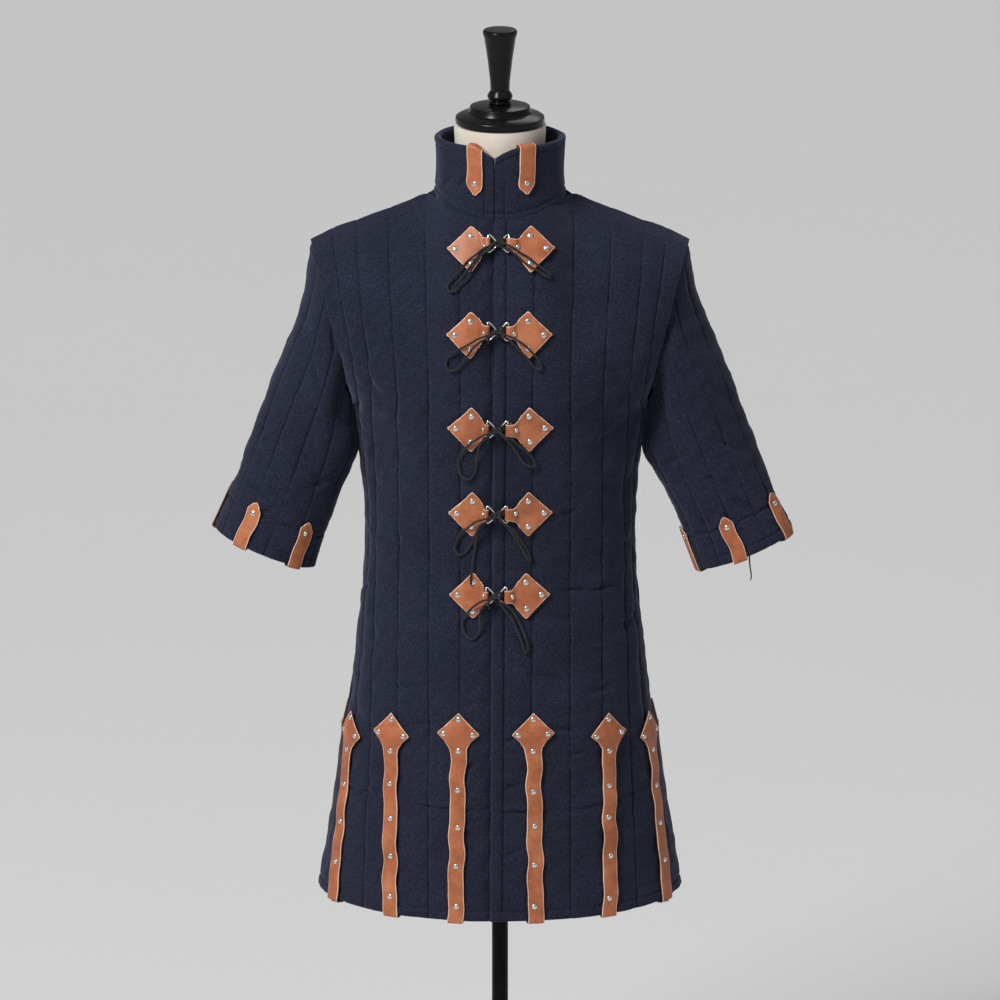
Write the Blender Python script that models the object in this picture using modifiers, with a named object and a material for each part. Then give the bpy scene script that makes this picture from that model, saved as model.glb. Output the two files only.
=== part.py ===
"""Quilted arming coat (gambeson) standing open and empty on a limbless dress form.

Metres, +Z up. The coat's front faces -Y and the wearer's left is +X. The origin is the centre
of the underside of the stand's base. The padded cloth is cut from one skin: rings up to the
armholes, then patches that run up to the neck and the shoulder seams. Leather pieces are made
from points of that skin, moved out.
"""
import math
from collections import namedtuple

import bmesh
import bpy
import numpy as np
from mathutils import Vector
from mathutils.bvhtree import BVHTree

# --- Cloth ---------------------------------------------------------------------------------
CLOTH = 0.008             # padded wall at the middle of a channel
GROOVE = 0.0022           # how far a quilting seam draws the outer face in
CHANNEL = 0.048           # spacing of the vertical quilting seams
FIXED_CHANNELS = 4        # channels of each front that keep that spacing from neck to hem
MM = 0.001
SEAM_GAP = 0.0003         # room between two pieces that are sewn together
OPENING_X = (-0.0125, -0.0070)   # where the front opening lies, at the hem and at the neck
ROUNDNESS = 1.95          # superellipse power of the coat's cross section

Ring = namedtuple("Ring", "z half_width front back")
RINGS = (
    Ring(0.556, 0.2430, 0.150, 0.158),
    Ring(0.580, 0.2395, 0.149, 0.157),
    Ring(0.664, 0.2255, 0.147, 0.153),
    Ring(0.747, 0.2125, 0.144, 0.148),
    Ring(0.812, 0.2015, 0.140, 0.142),
    Ring(0.893, 0.1915, 0.131, 0.133),
    Ring(0.955, 0.1840, 0.125, 0.125),
    Ring(1.010, 0.1800, 0.122, 0.120),
    Ring(1.093, 0.1795, 0.125, 0.121),
    Ring(1.141, 0.1830, 0.130, 0.126),
    Ring(1.180, 0.1885, 0.135, 0.131),
    Ring(1.225, 0.1945, 0.139, 0.136),
)
HEM_LIFT = 0.006          # the hem rises this much towards the side seams
ROWS_BELOW = 14           # rows of the skin from the hem to the armhole
ROWS_ABOVE = 8            # and from there to the shoulder

Profile = namedtuple("Profile", "z depth")
CENTRE_FRONT = (Profile(1.225, 0.139), Profile(1.300, 0.141), Profile(1.370, 0.134),
                Profile(1.435, 0.114), Profile(1.494, 0.083))
CENTRE_BACK = (Profile(1.225, 0.136), Profile(1.310, 0.140), Profile(1.390, 0.132),
               Profile(1.460, 0.108), Profile(1.520, 0.072))

Seam = namedtuple("Seam", "x z")
SHOULDER = (Seam(0.0860, 1.5130), Seam(0.1345, 1.4950), Seam(0.1825, 1.4760),
            Seam(0.2300, 1.4575), Seam(0.2475, 1.4450))
ARMHOLE_DEPTH = 0.071     # half the armhole's width, front to back
ARMHOLE_INSET = 0.006     # its front and back edges lie this much nearer the neck

# --- Sleeves: each ring runs from its outer point to its inner point -----------------------
SleeveRing = namedtuple("SleeveRing", "outer_x outer_z inner_x inner_z half_depth")
SLEEVES = {
    "right": (
        SleeveRing(0.2487, 1.4365, 0.1951, 1.2205, 0.0680),
        SleeveRing(0.2560, 1.3820, 0.1968, 1.1970, 0.0680),
        SleeveRing(0.2700, 1.3350, 0.1972, 1.1720, 0.0660),
        SleeveRing(0.3000, 1.2634, 0.2030, 1.1370, 0.0600),
        SleeveRing(0.3250, 1.1926, 0.2125, 1.1010, 0.0545),
        SleeveRing(0.3490, 1.1240, 0.2275, 1.0580, 0.0510),
        SleeveRing(0.3785, 1.0575, 0.2440, 1.0020, 0.0510),
    ),
    "left": (
        SleeveRing(0.2487, 1.4365, 0.1951, 1.2205, 0.0680),
        SleeveRing(0.2585, 1.3820, 0.1968, 1.1970, 0.0680),
        SleeveRing(0.2765, 1.3320, 0.1972, 1.1760, 0.0660),
        SleeveRing(0.3070, 1.2560, 0.2055, 1.1430, 0.0600),
        SleeveRing(0.3330, 1.1830, 0.2175, 1.1120, 0.0545),
        SleeveRing(0.3590, 1.1180, 0.2350, 1.0680, 0.0510),
        SleeveRing(0.3878, 1.0540, 0.2600, 1.0010, 0.0510),
    ),
}
SLEEVE_SIGN = {"right": -1, "left": 1}
SLEEVE_CHANNELS = 12
SLEEVE_INSET = 0.0085      # front and back of the sleeve head, drawn in to meet the armhole
SLEEVE_ROWS = 12

# --- Collar --------------------------------------------------------------------------------
CollarRing = namedtuple("CollarRing", "rise half_width front back")
COLLAR = (
    CollarRing(0.00, 0.0860, 0.0830, 0.0720),
    CollarRing(0.30, 0.0835, 0.0805, 0.0715),
    CollarRing(0.65, 0.0835, 0.0785, 0.0735),
    CollarRing(1.00, 0.0855, 0.0775, 0.0750),
)
COLLAR_TOP = 1.588
COLLAR_NOTCH = 0.015      # depth of the V at the front opening
NOTCH_REACH = 0.026       # and how far round it spreads
COLLAR_SPLIT = 0.0006     # half the gap between the collar's two front edges
COLLAR_COLUMNS = 32
COLLAR_ROWS = 5
COLLAR_LIFT = 0.0004      # of the collar's foot above the body's neck edge

# --- Leather -------------------------------------------------------------------------------
LEATHER = 0.0018
LEATHER_GAP = 0.0008      # leather stands this much off the faceted cloth
CREST_RISE = 0.0014       # and this much more where it spans the crests between seams
STRAP_WIDTH = 0.0215
HEAD_HALF = 0.0280        # half the diagonal of a strap's square head
HemStrap = namedtuple("HemStrap", "name side arc head_arc head_z")
STRAP_ROWS = {
    "front": ((0.0530, 0.0490, 0.8120), (0.1495, 0.1500, 0.8010), (0.2460, 0.2330, 0.7830)),
    "back": ((0.0530, 0.0500, 0.8080), (0.1600, 0.1550, 0.7980), (0.2680, 0.2500, 0.7830)),
}
HEM_STRAPS = tuple(
    HemStrap("hem_strap_%s_%s_%d" % (panel, side, order), (panel, side), *row)
    for panel in ("front", "back")
    for side in ("right", "left")
    for order, row in enumerate(STRAP_ROWS[panel], start=1))

PATCH_HALF = 0.0312       # half the diagonal of a closure patch
PATCH_NECK = 0.0080       # half the height of the neck that folds round the ring
PATCH_END = 0.0137        # distance of the ring's bar from the closure's tie
CLOSURE_SHIFT = 0.0052    # the ties lie this far to the left of the opening
Closure = namedtuple("Closure", "height drop right left")
# Each closure has its tie's height, its patches' drop below that, and how far each patch reaches.
CLOSURES = (
    Closure(1.4640, 0.0070, 0.0354, 0.0419),
    Closure(1.3575, 0.0040, 0.0356, 0.0393),
    Closure(1.2270, 0.0000, 0.0340, 0.0416),
    Closure(1.1090, 0.0000, 0.0322, 0.0412),
    Closure(0.9965, 0.0000, 0.0305, 0.0388),
)

COLLAR_TAB = 0.063        # length of a collar tab's outer leg
COLLAR_TAB_WIDTH = 0.0230
COLLAR_TAB_ANGLE = {"right": -21.0, "left": 25.0}   # degrees round from the centre front
CUFF_TAB = 0.064
CUFF_TAB_WIDTH = 0.0200
CUFF_TABS = 5
CUFF_TAB_START = {"right": -0.0150, "left": 0.0260}  # first tab's arc from the outer point
FOLD_RETURN = 0.020       # length that a folded strap goes up inside

# --- Rings and laces -----------------------------------------------------------------------
RING_WIRE = 0.0010        # radius of a ring's wire
RING_REACH = 0.0125       # from a ring's straight bar to its rounded tip
RING_HALF = 0.0128        # half the bar's length
RING_RISE = 0.0010        # the bar's middle lies this much above the tie
RING_HEIGHT = 0.0052      # of the wire's centre off the cloth
RING_ROOM = 0.0008        # between a ring's bar and the leather folded round it
LACE = 0.0014             # radius of the laces

# Each bow is in its closure's own frame: x across from the tie, z up from it, and height off
# the cloth, in millimetres. The lace runs from the end of its tail through both rings, round
# the left loop, over the knot, round the right loop and back under the knot.
Point = namedtuple("Point", "x z height")
Bow = namedtuple("Bow", "tail left right")
THROUGH_RINGS = (Point(-7.5, 0, 6.5), Point(-5, 0, 2.5), Point(0, 0, 2.4), Point(5, 0, 2.5),
                 Point(8, 1, 6), Point(6, 6, 9.5), Point(0, 5, 10.5), Point(-4, -2, 11.5))
OVER_KNOT = (Point(-4, 0, 14.5), Point(3, -1, 15))
LACE_END = (Point(4, -6, 11),)
BOWS = (
    Bow(
        tail=(Point(-56, -55, 3.5), Point(-46, -42, 3.5), Point(-35, -28, 6), Point(-24, -14, 9.5),
              Point(-13, -5, 12)),
        left=(Point(-18, -7, 13), Point(-29, -15, 10), Point(-39, -22, 6), Point(-47, -31, 4),
              Point(-54, -40, 3.5), Point(-61, -49, 3.5), Point(-66, -57, 3.5),
              Point(-64, -65, 3.5), Point(-57, -64, 3.5), Point(-50, -55, 3.5),
              Point(-41, -46, 3.5), Point(-34, -33, 7.5), Point(-25, -19, 10.5),
              Point(-14, -10, 13.5)),
        right=(Point(14, -4, 14), Point(28, -12, 8.5), Point(40, -19, 6), Point(50, -28, 5.5),
               Point(60, -36, 3.5), Point(66, -41, 3.5), Point(63, -45, 3.5), Point(56, -40, 3.5),
               Point(47, -34, 5.5), Point(37, -28, 6.5), Point(26, -18, 8.5), Point(13, -8, 11.5))),
    Bow(
        tail=(Point(-13, -14, 10), Point(-12, -9, 10.5), Point(-10, -4, 9.5)),
        left=(Point(-14, -4, 14), Point(-26, -8, 11), Point(-39, -16, 7.5), Point(-50, -22, 6),
              Point(-60, -29, 4.5), Point(-66, -37, 3.5), Point(-67, -46, 3.5),
              Point(-62, -52, 3.5), Point(-54, -49, 3.5), Point(-46, -40, 4.5),
              Point(-39, -30, 6.5), Point(-32, -20, 9), Point(-23, -12, 11.5), Point(-12, -6, 14)),
        right=(Point(14, -4, 14), Point(24, -9, 9.5), Point(34, -16, 7), Point(43, -25, 6),
               Point(51, -34, 4.5), Point(56, -43, 3.5), Point(54, -50, 3.5), Point(48, -47, 3.5),
               Point(41, -38, 4.5), Point(33, -28, 6.5), Point(23, -18, 9), Point(12, -8, 12))),
    Bow(
        tail=(Point(-12, -16, 10), Point(-12, -10, 10.5), Point(-10, -4, 9.5)),
        left=(Point(-13, -2, 14), Point(-21, -6, 12.5), Point(-30, -14, 8.5), Point(-39, -23, 6),
              Point(-47, -33, 3.5), Point(-51, -47, 3.5), Point(-49, -59, 3.5),
              Point(-45, -67, 3.5), Point(-39, -70, 3.5), Point(-33, -66, 3.5),
              Point(-29, -58, 3.5), Point(-27, -46, 3.5), Point(-26, -33, 8),
              Point(-23, -19, 10.5), Point(-15, -8, 13.5)),
        right=(Point(8, -6, 14), Point(16, -16, 10), Point(24, -28, 7), Point(31, -41, 4),
               Point(38, -50, 3.5), Point(45, -52, 3.5), Point(49, -48, 3.5), Point(45, -39, 3.5),
               Point(37, -30, 5), Point(27, -20, 8), Point(15, -9, 11.5))),
    Bow(
        tail=(Point(-34, -96, 5.5), Point(-34, -86, 5.5), Point(-32, -72, 3.5),
              Point(-29, -50, 3.5), Point(-27, -34, 6), Point(-24, -20, 9), Point(-13, -6, 12)),
        left=(Point(-11, -1, 14), Point(-20, -4, 12.5), Point(-29, -9, 9), Point(-37, -17, 7),
              Point(-46, -25, 4), Point(-52, -36, 3.5), Point(-55, -46, 3.5),
              Point(-52, -55, 3.5), Point(-47, -57, 3.5), Point(-41, -53, 3.5),
              Point(-35, -44, 3.5), Point(-31, -35, 5), Point(-27, -23, 9.5), Point(-21, -11, 12),
              Point(-12, -5, 14)),
        right=(Point(7, -6, 14), Point(15, -16, 10.5), Point(24, -30, 7), Point(31, -43, 4),
               Point(37, -55, 3.5), Point(42, -64, 3.5), Point(44, -62, 3.5), Point(41, -53, 3.5),
               Point(35, -42, 3.5), Point(28, -30, 6.5), Point(18, -17, 9.5))),
    Bow(
        tail=(Point(-9, -15, 10), Point(-10, -9, 10.5), Point(-9, -4, 9.5)),
        left=(Point(-11, -2, 14), Point(-20, -5, 12.5), Point(-29, -12, 9), Point(-37, -21, 6.5),
              Point(-43, -31, 4), Point(-44, -42, 3.5), Point(-40, -52, 3.5),
              Point(-33, -58, 3.5), Point(-26, -54, 3.5), Point(-22, -45, 4.5),
              Point(-21, -34, 6.5), Point(-22, -23, 10.5), Point(-18, -12, 12.5),
              Point(-10, -6, 14)),
        right=(Point(6, -9, 14), Point(14, -20, 10), Point(22, -32, 7), Point(28, -46, 3.5),
               Point(33, -61, 3.5), Point(36, -72, 3.5), Point(39, -76, 3.5), Point(41, -70, 3.5),
               Point(39, -57, 3.5), Point(34, -43, 3.5), Point(27, -28, 7), Point(16, -13, 10.5))),
)
LACE_STEP = 0.0070
CUFF_LACE = 0.0012
CUFF_LACE_POINTS = (Vector((0.3300, -0.0330, 1.0400)), Vector((0.3290, -0.0352, 1.0300)),
                    Vector((0.3290, -0.0360, 1.0180)), Vector((0.3305, -0.0362, 1.0060)),
                    Vector((0.3315, -0.0360, 0.9980)), Vector((0.3302, -0.0358, 0.9930)))

# --- Dress form and stand ------------------------------------------------------------------
FormRing = namedtuple("FormRing", "z half_width half_depth")
FORM = (
    FormRing(0.855, 0.120, 0.080), FormRing(0.862, 0.150, 0.096), FormRing(0.885, 0.160, 0.102),
    FormRing(0.955, 0.155, 0.100), FormRing(1.040, 0.147, 0.096), FormRing(1.120, 0.152, 0.101),
    FormRing(1.200, 0.164, 0.108), FormRing(1.290, 0.174, 0.110), FormRing(1.370, 0.174, 0.100),
    FormRing(1.420, 0.160, 0.084), FormRing(1.448, 0.130, 0.070), FormRing(1.470, 0.098, 0.062),
    FormRing(1.490, 0.074, 0.059), FormRing(1.520, 0.0615, 0.0575), FormRing(1.602, 0.0600, 0.0570),
)
FORM_SIDES = 28
PoleStep = namedtuple("PoleStep", "radius z")
CAP = (PoleStep(0.0000, 1.6030), PoleStep(0.0560, 1.6030), PoleStep(0.0580, 1.6050),
       PoleStep(0.0585, 1.6080), PoleStep(0.0580, 1.6125), PoleStep(0.0530, 1.6155),
       PoleStep(0.0420, 1.6180), PoleStep(0.0405, 1.6210), PoleStep(0.0390, 1.6265),
       PoleStep(0.0300, 1.6290), PoleStep(0.0000, 1.6300))
FINIAL = (PoleStep(0.0000, 1.6303), PoleStep(0.0140, 1.6303), PoleStep(0.0150, 1.6320),
          PoleStep(0.0120, 1.6340), PoleStep(0.0160, 1.6370), PoleStep(0.0166, 1.6400),
          PoleStep(0.0150, 1.6435), PoleStep(0.0125, 1.6470), PoleStep(0.0130, 1.6600),
          PoleStep(0.0165, 1.6900), PoleStep(0.0208, 1.7180), PoleStep(0.0226, 1.7230),
          PoleStep(0.0226, 1.7260), PoleStep(0.0205, 1.7285), PoleStep(0.0000, 1.7300))
POLE_RADIUS = 0.0107
POLE_TOP = FORM[0].z - SEAM_GAP
BASE_RADIUS = 0.200
STAND = (PoleStep(0.0000, 0.0000), PoleStep(0.1970, 0.0000), PoleStep(BASE_RADIUS, 0.0030),
         PoleStep(BASE_RADIUS, 0.0100), PoleStep(0.1960, 0.0135), PoleStep(0.0320, 0.0230),
         PoleStep(0.0260, 0.0280), PoleStep(0.0250, 0.0600), PoleStep(0.0230, 0.0620),
         PoleStep(POLE_RADIUS, 0.0620), PoleStep(POLE_RADIUS, POLE_TOP),
         PoleStep(0.0000, POLE_TOP))
TURNED_STEPS = 28


# --- Materials -----------------------------------------------------------------------------
Finish = namedtuple("Finish", "color roughness metallic")
FINISHES = {
    "padded_wool": Finish((0.020, 0.023, 0.043), 0.92, 0.0),
    "tan_leather": Finish((0.450, 0.165, 0.070), 0.60, 0.0),
    "ring_steel": Finish((0.620, 0.620, 0.640), 0.25, 1.0),
    "lace_black": Finish((0.012, 0.012, 0.013), 0.80, 0.0),
    "form_jersey": Finish((0.700, 0.610, 0.520), 0.85, 0.0),
    "black_lacquer": Finish((0.010, 0.010, 0.011), 0.30, 0.0),
}


def make_material(name):
    """A Principled material with the finish of that name."""
    finish = FINISHES[name]
    material = bpy.data.materials.new(name)
    material.use_nodes = True
    shader = material.node_tree.nodes["Principled BSDF"]
    shader.inputs["Base Color"].default_value = (*finish.color, 1.0)
    shader.inputs["Roughness"].default_value = finish.roughness
    shader.inputs["Metallic"].default_value = finish.metallic
    return material


# --- Curves through a few rows -------------------------------------------------------------
def smooth(keys, values, at):
    """Smooth curve through (keys, values), read at each number in at."""
    keys = np.asarray(keys, float)
    values = np.asarray(values, float)
    slopes = np.gradient(values, keys)
    at = np.clip(np.asarray(at, float), keys[0], keys[-1])
    index = np.clip(np.searchsorted(keys, at) - 1, 0, len(keys) - 2)
    width = keys[index + 1] - keys[index]
    t = (at - keys[index]) / width
    return ((1 + 2 * t) * (1 - t) ** 2 * values[index] + t * (1 - t) ** 2 * width * slopes[index]
            + t * t * (3 - 2 * t) * values[index + 1] + t * t * (t - 1) * width * slopes[index + 1])


def column_of(table, field):
    return [getattr(row, field) for row in table]


def along(polyline, distances):
    """Points at the given distances along a polyline of points."""
    steps = np.linalg.norm(np.diff(polyline, axis=0), axis=1)
    run = np.concatenate([[0.0], np.cumsum(steps)])
    return np.stack([np.interp(distances, run, polyline[:, axis]) for axis in range(3)], axis=1)


def length_of(polyline):
    return float(np.linalg.norm(np.diff(polyline, axis=0), axis=1).sum())


def quarter_ring(z, half_width, depth, power=ROUNDNESS, count=121):
    """From the middle of the front, at -depth, round to the side."""
    angle = np.linspace(0.0, math.pi / 2, count)
    x = half_width * np.sin(angle) ** (2 / power)
    y = -depth * np.cos(angle) ** (2 / power)
    return np.stack([x, y, np.full(count, z)], axis=1)


# --- The skin of the coat's body -----------------------------------------------------------
def arcs_at(length):
    """Where the columns of half a panel lie on a ring whose quarter has this length.

    Every other column is a quilting seam. The first seams keep their spacing and the rest of
    the ring, out to the side seam, is shared evenly.
    """
    fixed = np.arange(0, 2 * FIXED_CHANNELS + 1) * CHANNEL / 2
    rest = np.linspace(fixed[-1], length, 5)[1:]
    return np.concatenate([fixed, rest])


SEAM_COLUMNS = tuple(range(0, 2 * FIXED_CHANNELS + 1, 2))


def body_heights():
    return np.linspace(RINGS[0].z, RINGS[-1].z, ROWS_BELOW)


def ring_row(z, depth_field):
    """One row of half a panel, from the centre to the side seam."""
    heights = column_of(RINGS, "z")
    half_width = float(smooth(heights, column_of(RINGS, "half_width"), z))
    depth = float(smooth(heights, column_of(RINGS, depth_field), z))
    curve = quarter_ring(z, half_width, depth)
    row = along(curve, arcs_at(length_of(curve)))
    lift = HEM_LIFT * max(0.0, 1 - (z - RINGS[0].z) / 0.12)
    row[:, 2] += lift * (row[:, 0] / half_width) ** 4
    return row


def shoulder_row(profile):
    """The top edge: round the neck, then out along the shoulder seam."""
    neck_x = SHOULDER[0].x
    centre = profile[-1]
    tip = SHOULDER[-1].x
    fixed = arcs_at(1.0)[:2 * FIXED_CHANNELS]
    out = np.linspace(0.0, 1.0, 6)[1:] ** 0.9
    across = np.concatenate([fixed, fixed[-1] + (tip - fixed[-1]) * out])
    row = []
    for x in across:
        if x < neck_x:
            share = x / neck_x
            y = -centre.depth * math.sqrt(1 - share ** 2.2)
            z = centre.z + (SHOULDER[0].z - centre.z) * share ** 2
        else:
            y = 0.0
            z = float(smooth(column_of(SHOULDER, "x"), column_of(SHOULDER, "z"), x))
        row.append((x, y, z))
    return np.array(row)


def armhole_edge(share):
    """Front half of the armhole, from the underarm at 0 to the shoulder tip at 1."""
    low = Vector((RINGS[-1].half_width, 0, RINGS[-1].z))
    high = Vector((SHOULDER[-1].x, 0, SHOULDER[-1].z))
    turn = math.pi * share
    point = low.lerp(high, (1 - math.cos(turn)) / 2)
    bulge = math.sin(turn)
    return (point.x - ARMHOLE_INSET * bulge, -ARMHOLE_DEPTH * bulge, point.z)


def upper_rows(lowest, profile):
    """Rows above the underarm: a patch between ring, centre line, armhole and shoulder."""
    shares = np.linspace(0.0, 1.0, ROWS_ABOVE + 1)
    depths = smooth(column_of(profile, "z"), column_of(profile, "depth"),
                    profile[0].z + (profile[-1].z - profile[0].z) * shares)
    rises = profile[0].z + (profile[-1].z - profile[0].z) * shares
    centre = np.stack([np.zeros_like(shares), -depths, rises], axis=1)
    armhole = np.array([armhole_edge(share) for share in shares])
    top = shoulder_row(profile)
    run = np.concatenate([[0.0], np.cumsum(np.linalg.norm(np.diff(lowest, axis=0), axis=1))])
    across = (run / run[-1])[:, None]
    rows = []
    for index, share in enumerate(shares[1:], start=1):
        lift = share ** 1.6
        edges = (1 - lift) * lowest + lift * top
        sides = (1 - across) * centre[index] + across * armhole[index]
        corners = ((1 - lift) * ((1 - across) * lowest[0] + across * lowest[-1])
                   + lift * ((1 - across) * top[0] + across * top[-1]))
        rows.append(edges + sides - corners)
    return rows


def half_skin(depth_field, profile):
    """Grid of half the front or the back, on the +X side with its outside towards -Y."""
    rows = [ring_row(z, depth_field) for z in body_heights()]
    rows += upper_rows(rows[-1], profile)
    return np.array(rows)


def moved_opening(grid):
    """Slides the inner columns of a front so that its edge lies on the slanting opening."""
    grid = grid.copy()
    low, high = grid[0, 0, 2], grid[-1, 0, 2]
    for row in grid:
        share = (row[0, 2] - low) / (high - low)
        opening = OPENING_X[0] + (OPENING_X[1] - OPENING_X[0]) * share
        reach = abs(row[4, 0])
        for column in range(4):
            row[column, 0] += opening * (1 - abs(row[column, 0]) / reach)
    return grid


def mirrored(grid, axis):
    grid = grid.copy()
    grid[:, :, axis] *= -1
    return grid


def body_skins():
    """The three cut pieces as grids, each with its outside on the left of row x column."""
    front = half_skin("front", CENTRE_FRONT)
    back = mirrored(half_skin("back", CENTRE_BACK), 1)
    left = moved_opening(front)
    right = moved_opening(mirrored(front, 0))
    whole_back = np.concatenate([back[:, ::-1], mirrored(back, 0)[:, 1:]], axis=1)
    return {"front_left": left, "front_right": right[:, ::-1], "back": whole_back}


def sleeve_skin(side):
    """Grid down a sleeve, closed round: row 0 at the armhole, the last row at the cuff."""
    table = SLEEVES[side]
    keys = np.linspace(0.0, 1.0, len(table))
    shares = np.linspace(0.0, 1.0, SLEEVE_ROWS)
    fields = {name: smooth(keys, column_of(table, name), shares) for name in SleeveRing._fields}
    rows = []
    for index in range(SLEEVE_ROWS):
        outer = Vector((fields["outer_x"][index], 0, fields["outer_z"][index]))
        inner = Vector((fields["inner_x"][index], 0, fields["inner_z"][index]))
        middle = (outer + inner) / 2
        reach = (outer - inner) / 2
        row = []
        for step in range(2 * SLEEVE_CHANNELS):
            turn = math.pi * step / SLEEVE_CHANNELS
            point = middle + reach * math.cos(turn)
            point.y -= fields["half_depth"][index] * math.sin(turn)
            point.x -= SLEEVE_INSET * abs(math.sin(turn)) * (1 - shares[index]) ** 6
            row.append((SLEEVE_SIGN[side] * point.x, point.y, point.z))
        rows.append(row)
    return np.array(rows)


def collar_base(angle):
    """Height of the neck seam at this angle from the centre front."""
    share = abs(math.sin(angle))
    middle = CENTRE_FRONT[-1].z if math.cos(angle) > 0 else CENTRE_BACK[-1].z
    return middle + (SHOULDER[0].z - middle) * share ** 2 + COLLAR_LIFT


def collar_skin():
    """Grid of the stand collar, from one front edge round the back to the other."""
    opening = OPENING_X[1]
    edge = math.asin(COLLAR_SPLIT / COLLAR[0].front)
    angles = np.linspace(edge, 2 * math.pi - edge, COLLAR_COLUMNS + 1)
    rows = []
    for rise in np.linspace(0.0, 1.0, COLLAR_ROWS):
        half_width, front, back = (float(smooth(column_of(COLLAR, "rise"), column_of(COLLAR, name),
                                                rise)) for name in ("half_width", "front", "back"))
        row = []
        for angle in angles:
            depth = front if math.cos(angle) > 0 else back
            x = half_width * math.sin(angle)
            y = -depth * math.cos(angle)
            near = math.cos(angle) > 0
            x += opening * max(0.0, 1 - abs(x) / 0.04) if near else 0.0
            low = collar_base(angle)
            notch = max(0.0, 1 - abs(x - opening) / NOTCH_REACH) if near else 0.0
            high = COLLAR_TOP - COLLAR_NOTCH * notch
            row.append((x, y, low + (high - low) * rise))
        rows.append(row)
    return np.array(rows)


# --- Walls ---------------------------------------------------------------------------------
Skin = namedtuple("Skin", "points normals closed")


def key_of(point):
    return tuple(int(round(value * 1e5)) for value in point)


def shared_normals(grids, closed=False):
    """Outward normals, averaged over every grid that meets at a point."""
    sums = {}
    for grid in grids:
        rows, columns = grid.shape[:2]
        last = columns if closed else columns - 1
        for row in range(rows - 1):
            for column in range(last):
                corners = ((row, column), (row, (column + 1) % columns),
                           (row + 1, (column + 1) % columns), (row + 1, column))
                a, b, c, d = (grid[corner] for corner in corners)
                face = np.cross(c - a, d - b)
                for corner in corners:
                    key = key_of(grid[corner])
                    sums[key] = sums.get(key, 0.0) + face
    return [np.array([[sums[key_of(point)] / np.linalg.norm(sums[key_of(point)])
                       for point in row] for row in grid]) for grid in grids]


def add_object(name, mesh, finish, collection):
    mesh.materials.append(bpy.data.materials.get(finish) or make_material(finish))
    piece = bpy.data.objects.new(name, mesh)
    collection.objects.link(piece)
    return piece


def slab(name, outer, inner, finish, collection, closed=False):
    """A closed solid between two grids of the same size, the outer one facing out."""
    rows, columns = outer.shape[:2]
    vertices = [tuple(point) for point in outer.reshape(-1, 3)]
    vertices += [tuple(point) for point in inner.reshape(-1, 3)]
    half = rows * columns

    def index(row, column):
        return row * columns + column % columns

    faces = []
    last = columns if closed else columns - 1
    for row in range(rows - 1):
        for column in range(last):
            quad = (index(row, column), index(row, column + 1),
                    index(row + 1, column + 1), index(row + 1, column))
            faces.append(quad)
            faces.append(tuple(half + corner for corner in reversed(quad)))
    for column in range(last):
        low = (index(0, column), index(0, column + 1))
        high = (index(rows - 1, column + 1), index(rows - 1, column))
        for a, b in (low, high):
            faces.append((b, a, half + a, half + b))
    if not closed:
        for row in range(rows - 1):
            left = (index(row + 1, 0), index(row, 0))
            right = (index(row, columns - 1), index(row + 1, columns - 1))
            for a, b in (left, right):
                faces.append((b, a, half + a, half + b))
    mesh = bpy.data.meshes.new(name)
    mesh.from_pydata(vertices, [], faces)
    mesh.update()
    mesh.shade_smooth()
    mesh.set_sharp_from_angle(angle=math.radians(35))
    return add_object(name, mesh, finish, collection)


def trimmed(grid, closed):
    """Draws the free edges of a grid in by half a seam gap."""
    grid = grid.copy()

    def draw_in(edge, neighbour):
        step = neighbour - edge
        return edge + step / np.linalg.norm(step, axis=-1, keepdims=True) * SEAM_GAP / 2

    grid[0], grid[-1] = draw_in(grid[0], grid[1]), draw_in(grid[-1], grid[-2])
    if not closed:
        grid[:, 0], grid[:, -1] = (draw_in(grid[:, 0], grid[:, 1]),
                                   draw_in(grid[:, -1], grid[:, -2]))
    return grid


def padded_wall(name, points, normals, seams, collection, closed=False):
    """A quilted wall: its outer face is drawn in along the seam columns."""
    outer = points.copy()
    outer[:, seams] -= GROOVE * normals[:, seams]
    inner = points - CLOTH * normals
    slab(name, trimmed(outer, closed), trimmed(inner, closed), "padded_wool", collection, closed)
    return Skin(outer, normals, closed)


def make_body(collection):
    """Fronts and back, whose quilting seams run up every other column."""
    grids = body_skins()
    normals = dict(zip(grids, shared_normals(list(grids.values()))))
    count = grids["front_left"].shape[1]
    half = [column for column in SEAM_COLUMNS if column]
    seams = {
        "front_left": half,
        "front_right": [count - 1 - column for column in half],
        "back": ([count - 1 - column for column in half] + [count - 1]
                 + [count - 1 + column for column in half]),
    }
    skins = {}
    for name, grid in grids.items():
        skins[name] = padded_wall(name, grid, normals[name], seams[name], collection)
    back = skins["back"]
    return {
        ("front", "left"): skins["front_left"],
        ("front", "right"): Skin(skins["front_right"].points[:, ::-1],
                                 skins["front_right"].normals[:, ::-1], False),
        ("back", "left"): Skin(back.points[:, count - 1::-1], back.normals[:, count - 1::-1], False),
        ("back", "right"): Skin(back.points[:, count - 1:], back.normals[:, count - 1:], False),
    }


def make_sleeves(collection):
    """Two tubes, turned so that their rows start at the cuff."""
    skins = {}
    for side in ("right", "left"):
        grid = sleeve_skin(side)
        if side == "right":
            grid = np.roll(grid[:, ::-1], 1, axis=1)
        normals = shared_normals([grid], closed=True)[0]
        seams = list(range(0, 2 * SLEEVE_CHANNELS, 2))
        skin = padded_wall("sleeve_" + side, grid, normals, seams, collection, closed=True)
        skins[side] = Skin(skin.points[::-1], skin.normals[::-1], True)
    return skins


def make_collar(collection):
    """The stand collar, returned with its rows starting at the top edge."""
    grid = collar_skin()
    normals = shared_normals([grid])[0]
    skin = padded_wall("collar", grid, normals, [], collection)
    return Skin(skin.points[::-1], skin.normals[::-1], False)


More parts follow.
